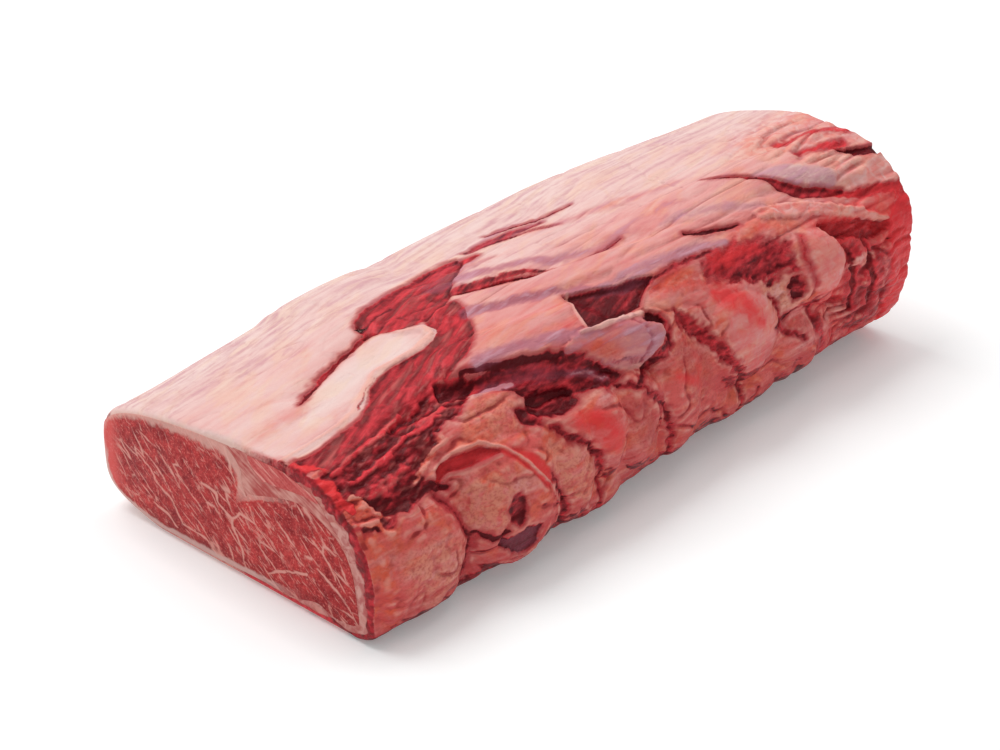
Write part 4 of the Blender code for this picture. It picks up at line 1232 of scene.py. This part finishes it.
def skin_rows(share):
    """Rows of the whole skin from inside one cut to inside the other, with what its material reads."""
    radius = edge_round(share)
    start = radius + CUT_CROWN
    q = np.linspace(0, 1, SKIN_ROWS)[:, None]
    s = start * (1 - q) + (LENGTH - start) * q
    plain_x, plain_z, out_x, out_z = [np.zeros(s.shape) for _ in range(4)]
    for r in range(SKIN_ROWS):
        plain_x[r], plain_z[r] = outline(q[r, 0], share)
        out_x[r], out_z[r] = outward(q[r, 0], share)
    plain = np.stack([plain_x, s, plain_z], axis=-1)
    wide_share = np.broadcast_to(np.mod(share, 1), s.shape)
    lift, tints = painted(s, wide_share, plain)
    rib_side = smooth_between(0.02, 0.10, wide_share) * smooth_between(0.33, 0.28, wide_share)
    straps = smooth_between(0.28, 0.33, wide_share) * smooth_between(0.54, 0.44, wide_share)
    straps = straps * smooth_between(0.10, 0.16, s)
    bumpy = rib_side * (1 - 0.85 * tints["calm"]) * (1 - tints["craggy"])
    # Fibres of the bared lean run with it, a little across the roll
    turned = plain @ np.array([[0.94, -0.34, 0], [0.34, 0.94, 0], [0, 0, 1]])
    fibres = rough(turned, (0.0034, 0.040, 0.0034), 83)
    crags = rough(plain, (0.007, 0.011, 0.007), 97) + 0.6 * rough(plain, (0.0028, 0.005, 0.0028), 101)
    rags = rough(plain, (0.009, 0.024, 0.009), 151) + creases(plain, (0.011, 0.034, 0.011), 157, 0.16)
    lift += FIBRE_RELIEF * fibres * tints["grainy"] + CRAG_RELIEF * crags * tints["craggy"]
    rim_ease = 1 - 0.7 * smooth_between(LENGTH - 0.030, LENGTH - 0.010, s)
    lift += CRAG_RELIEF * rags * tints["ragged_end"] * (1 - tints["calm"]) * rim_ease
    uneven = smooth_between(-0.3, 0.3, rough(plain, (0.020, 0.024, 0.020), 191))
    lift += PAD_CREASE * creases(plain, (0.020, 0.024, 0.020), 163, 0.10) * bumpy
    lift += PAD_FINE_CREASE * creases(plain, (0.0075, 0.0090, 0.0075), 173, 0.22) * bumpy * uneven
    lift += STRAP_CREASE * creases(plain, (0.012, 0.085, 0.012), 181, 0.14) * straps
    cover = smooth_between(0.40, 0.46, wide_share) * smooth_between(0.76, 0.66, wide_share)
    cover = cover * (1 - tints["ragged_end"])
    lift += COVER_CREASE * creases(plain, (0.022, 0.034, 0.022), 211, 0.07) * cover
    lift += (SWELL + SWELL_ON_PADS * rib_side) * rough(plain, (0.011, 0.030, 0.011), 113)
    lift += (PIMPLE + PIMPLE_ON_PADS * bumpy) * rough(plain, (0.0030, 0.0050, 0.0030), 127)
    # How low each place lies and how deep in a crease it sits, for painted shade in the material
    hollow = np.clip(-lift / FULL_HOLLOW, -1, 1)
    cavity = np.clip((softened(lift, 4) - lift) / FULL_CAVITY, -1, 1)
    lift += large_relief(s, wide_share)
    lift *= smooth_between(0.001, 0.012, plain_z)
    x = plain_x + out_x * lift
    z = np.maximum(plain_z + out_z * lift, 0)
    body = np.stack([x + SIDE_SHIFT, s - LENGTH / 2, z], axis=-1)
    values = {name: tints[name] for name in TINTS}
    values["hollow"] = hollow
    values["cavity"] = cavity
    values["under"] = np.zeros(s.shape)

    faces = []
    wall = []
    for t in (0.0, 1.0):
        edge = body[0] if t == 0 else body[-1]
        cx, cz = core(t)
        cx = cx + SIDE_SHIFT
        nx, nz = outward(t, share)
        support = np.maximum((edge[:, 0] - cx) * nx + (edge[:, 2] - cz) * nz, 0.02)
        inner = fat_depth(t, share) + WALL_TUCK
        depths = [radius * (1 - math.cos(a)) for a in np.linspace(0, math.pi / 2, ROUND_ROWS + 1)[1:]]
        depths += [radius + (np.maximum(inner, radius + 0.0004) - radius) * f
                   for f in np.arange(1, FAT_FACE_ROWS + 1) / FAT_FACE_ROWS]
        rows = []
        for depth in depths:
            f = (depth / support)[:, None]
            ring = edge * (1 - f) + np.array([cx, 0, cz]) * f
            back = setback(t, share, depth)
            ring[:, 1] = (back if t == 0 else LENGTH - back) - LENGTH / 2
            rows.append(ring)
        rows = np.array(rows)
        uneven = 0.00025 * rough(rows, (0.004, 0.004, 0.004), 131)
        uneven = uneven * smooth_between(0, 1, np.arange(len(rows)) / ROUND_ROWS)[:, None]
        uneven = uneven * smooth_between(inner - WALL_TUCK, inner - 2 * WALL_TUCK, np.array(depths))
        rows[..., 1] += uneven
        faces.append((rows, np.array(depths)))
    for t in np.linspace(1, 0, WALL_ROWS + 2)[1:-1]:
        wall.append(between_cuts(t, *sunk(t, share, fat_depth(t, share) + WALL_TUCK)))
    (near, near_depths), (far, far_depths) = faces
    outer = np.concatenate([near[::-1], body, far])
    # The skin's tints end at the rim, and each cut has its own from there
    how_lean = round_girth(share, [knot[:2] for knot in RIM_LEAN])
    how_deep = round_girth(share, [knot[::2] for knot in RIM_LEAN])
    how_deep = how_deep * (1 + 0.6 * rough(near, (0.006, 0.006, 0.006), 137))
    near_rim = dict(
        lean=how_lean * smooth_between(how_deep + 0.0012, how_deep - 0.0012, near_depths),
        maroon=0.34 - 0.30 * smooth_between(0.60, 0.66, share),
        rosy=0.70 - 0.60 * smooth_between(0.36, 0.42, share) * smooth_between(0.66, 0.60, share),
        scarlet=0.15 * smooth_between(0.60, 0.66, share), grainy=0.3 * smooth_between(0.42, 0.36, share),
    )
    far_rim = dict(lean=0.10, maroon=0.3, rosy=0.45)
    for name, inside in values.items():
        ends = []
        for rim, depths, row in ((near_rim, near_depths, inside[:1]), (far_rim, far_depths, inside[-1:])):
            inner = smooth_between(0.0002, 0.0014, depths)
            ends.append(row * (1 - inner) + rim.get(name, 0) * inner)
        values[name] = np.concatenate([ends[0][::-1], inside, ends[1]])
    values["under"][:len(near)] = near_depths[::-1]
    values["under"][-len(far):] = far_depths
    return outer, np.array(wall), values


def outer_normals(points):
    """Unit normals of the skin's grid: the cross product of its steps along and round."""
    down = np.gradient(points, axis=0)
    round_step = np.roll(points, -1, axis=1) - np.roll(points, 1, axis=1)
    normal = np.cross(down, round_step)
    return normal / np.linalg.norm(normal, axis=-1, keepdims=True)


def make_band(name, outer, wall, normals, values, columns):
    """Closed band of fat: the skin's rows, the wall inside, and a strip of triangles down each side."""
    points = np.concatenate([outer[:, columns], wall[:, columns]])
    count, steps = points.shape[:2]
    index = np.arange(count * steps).reshape(count, steps)
    below = np.roll(index, -1, axis=0)
    faces = np.stack([index[:, :-1], below[:, :-1], below[:, 1:], index[:, 1:]], axis=-1)
    faces = faces.reshape(-1, 4).tolist()
    skin_count = len(outer)
    walls = count - skin_count
    facing = np.round((walls - 1) * (1 - np.arange(skin_count) / (skin_count - 1))).astype(int)
    for column, turn in ((0, 1), (steps - 1, -1)):
        side = index[:, column]
        across = side[skin_count + facing]
        for r in range(skin_count - 1):
            faces.append([side[r + 1], side[r], across[r]][::turn])
            if facing[r + 1] != facing[r]:
                faces.append([across[r], across[r + 1], side[r + 1]][::-turn])
    mesh = bpy.data.meshes.new(name)
    mesh.from_pydata(points.reshape(-1, 3), [], faces)
    mesh.shade_smooth()
    inward = np.zeros((walls, steps, 3))
    inward[..., 1] = 1
    directions = np.concatenate([normals[:, columns], inward]).reshape(-1, 3)
    mesh.normals_split_custom_set_from_vertices(directions.tolist())
    band = bpy.data.objects.new(name, mesh)
    bpy.context.scene.collection.objects.link(band)
    for key, value in values.items():
        under_wall = np.zeros((walls, steps))
        keep_values(band, key, np.concatenate([value[:, columns], under_wall]))
    return band


def skin_finish():
    """Chilled beef fat, silver skin and lean: satin fat from cream to salmon, streaked along the roll;
    shiny greyish-lilac silver skin; and wet lean from bright red to maroon with paler fibres."""
    material = new_material("beef fat, silver skin and bared lean")
    tree = material.node_tree
    place = add(tree, "ShaderNodeTexCoord", out=3)

    cloud = noise(tree, in_cells(tree, place, (0.014, 0.040, 0.014)), 3.0, distortion=0.4)
    hue = noise(tree, in_cells(tree, place, (0.010, 0.026, 0.010), (0, 0, 0.3)), 2.0, distortion=0.6)
    streak = noise(tree, in_cells(tree, place, (0.0034, 0.045, 0.0034)), 5.0, distortion=0.35)
    fine = noise(tree, in_cells(tree, place, (0.0013, 0.0018, 0.0013)), 3.0)
    mottle = noise(tree, in_cells(tree, place, (0.0050, 0.0062, 0.0050)), 5.0, distortion=0.8)
    fibre = in_cells(tree, place, (0.0036, 0.055, 0.0036), (0, 0, math.radians(20)))
    fibre = noise(tree, fibre, 6.0, distortion=0.25)
    cavity = stored(tree, "cavity")
    # Fat: cream to salmon, a little more orange in places and more pink in others
    swing = weighed(tree, streak, 0.8, weighed(tree, cloud, 1.0, -0.90))
    swing = weighed(tree, swing, weighed(tree, stored(tree, "rosy"), 0.75, 0.25), stored(tree, "rosy"))
    rosy = add(tree, "ShaderNodeClamp", {0: swing})
    pink = mixed(tree, rosy, "#edcfc9", "#dc605c")
    orange = mixed(tree, rosy, "#eecfc2", "#e0644f")
    fat = mixed(tree, eased(tree, hue, 0.46, 0.66), pink, orange)
    ochre = times(tree, eased(tree, mottle, 0.34, 0.60), stored(tree, "ochre"))
    fat = mixed(tree, ochre, fat, "#e25e46")
    tan = times(tree, eased(tree, mottle, 0.36, 0.62, 0.85), stored(tree, "tan"))
    fat = mixed(tree, tan, fat, "#df8b74")
    rubbed = weighed(tree, stored(tree, "tan"), 0.45, eased(tree, stored(tree, "rosy"), 0.80, 1.00, 0.35))
    rubbed = times(tree, eased(tree, fine, 0.42, 0.72), rubbed)
    fat = mixed(tree, rubbed, fat, "#b54a3f")
    # Painted shade, and blood that collects there, make the creases redder; a painted highlight makes the
    # ridges paler
    crease_shade = times(tree, eased(tree, cavity, 0.05, 0.90, 0.80), weighed(tree, rosy, 0.9, 0.12))
    fat = mixed(tree, crease_shade, fat, "#96262a")
    ridge_highlight = eased(tree, cavity, -0.05, -0.80, 0.48)
    fat = mixed(tree, ridge_highlight, fat, "#f2b0a0")
    # Stained, thin fat beside every gap; the same red tint also paints shade low on the pads
    stain = weighed(tree, streak, 0.6, stored(tree, "stain"))
    stain = eased(tree, stain, 0.36, 1.20, 0.85)
    fat = mixed(tree, stain, fat, "#b2343c")
    # Fat that the knife went through shows at the edge of each cut
    under = eased(tree, stored(tree, "under"), 0.0010, 0.0030, 0.75)
    cut_fat = mixed(tree, eased(tree, mottle, 0.36, 0.62), "#b85e5a", "#dba59a")
    cut_fat = mixed(tree, eased(tree, stored(tree, "rosy"), 0.15, 0.55), "#e9c0b4", cut_fat)
    fat = mixed(tree, under, fat, cut_fat)
    # Silver skin, which also lays painted shade on the plain fat
    silver = weighed(tree, streak, 1.0, stored(tree, "silver"))
    silver = weighed(tree, mottle, 0.4, silver)
    silver = eased(tree, silver, 0.84, 1.70, 0.92)
    skin = mixed(tree, silver, fat, "#b8707e")
    # Paler streaks on the silver skin: a painted glint
    glint = times(tree, eased(tree, streak, 0.44, 0.68, 0.62), silver)
    skin = mixed(tree, glint, skin, "#d9a8b6")
    # Lean: in creases it shows more, deeper maroon and with fewer pale fibres, as painted shade
    dark = weighed(tree, fibre, 1.5, stored(tree, "maroon"))
    dark = weighed(tree, mottle, 0.6, dark)
    dark = weighed(tree, cavity, 0.28, dark)
    dark = eased(tree, dark, 0.80, 1.74)
    lean = mixed(tree, dark, "#e63f48", "#5c0b14")
    pale = times(tree, eased(tree, fibre, 0.50, 0.64, 0.72), weighed(tree, cavity, -0.5, 0.50))
    pale = times(tree, pale, stored(tree, "grainy"))
    lean = mixed(tree, pale, lean, "#e6746f")
    film = weighed(tree, streak, 0.8, stored(tree, "silver"))
    lean = mixed(tree, eased(tree, film, 0.60, 1.20, 0.60), lean, "#96485a")
    bare = weighed(tree, fine, 0.35, stored(tree, "lean"))
    bare = weighed(tree, mottle, 0.60, bare)
    bare = weighed(tree, cavity, 0.12, bare)
    bare = eased(tree, bare, 0.74, 1.14)
    skin = mixed(tree, bare, skin, lean)
    blood = weighed(tree, mottle, 0.7, stored(tree, "scarlet"))
    blood = eased(tree, blood, 0.38, 1.20, 0.92)
    skin = mixed(tree, blood, skin, "#e8383b")
    # Painted shade darkens what lies low
    low = eased(tree, stored(tree, "hollow"), 0.40, 1.0, 0.18)
    skin = mixed(tree, low, skin, "#5c0f18")
    wet = eased(tree, bare, 0.0, 1.0, 0.14)
    gloss = add(tree, "ShaderNodeMath", {0: 0.44, 1: wet}, operation="SUBTRACT")
    gloss = weighed(tree, fine, 0.12, gloss)
    height = weighed(tree, fine, 0.35, mottle)
    height = weighed(tree, streak, 0.8, height)
    height = weighed(tree, times(tree, fibre, bare), 1.2, height)
    wet_surface(tree, skin, gloss, height, 0.0009, 0.7, 1.42, shine=0.15)
    return material


ring = np.concatenate([np.linspace(first, last, steps, endpoint=False) for _, first, last, steps in BANDS])
outer, wall, values = skin_rows(ring)
normals = outer_normals(outer)
# Where the pads turn under, dark meat shows, deepened by painted shade; lower down, painted shade makes
# their fat redder
rib_side = smooth_between(0.02, 0.06, ring) * smooth_between(0.26, 0.22, ring)
rib_side[ring > 1] = 0
under_pads_shade = smooth_between(-0.20, -0.62, normals[..., 2]) * rib_side
low_down_shade = smooth_between(0.30, -0.20, normals[..., 2]) * rib_side
for name, tint in (("stain", 0.50 * low_down_shade), ("lean", under_pads_shade), ("maroon", 0.50 * under_pads_shade)):
    values[name] = np.maximum(values[name], tint)
skin_material = skin_finish()
band_start = 0
for name, _, _, steps in BANDS:
    columns = np.arange(band_start, band_start + steps + 1) % len(ring)
    band_start += steps
    band = make_band(name, outer, wall, normals, values, columns)
    band.data.materials.append(skin_material)
    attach(band, "root")
    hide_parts("fat_cover")
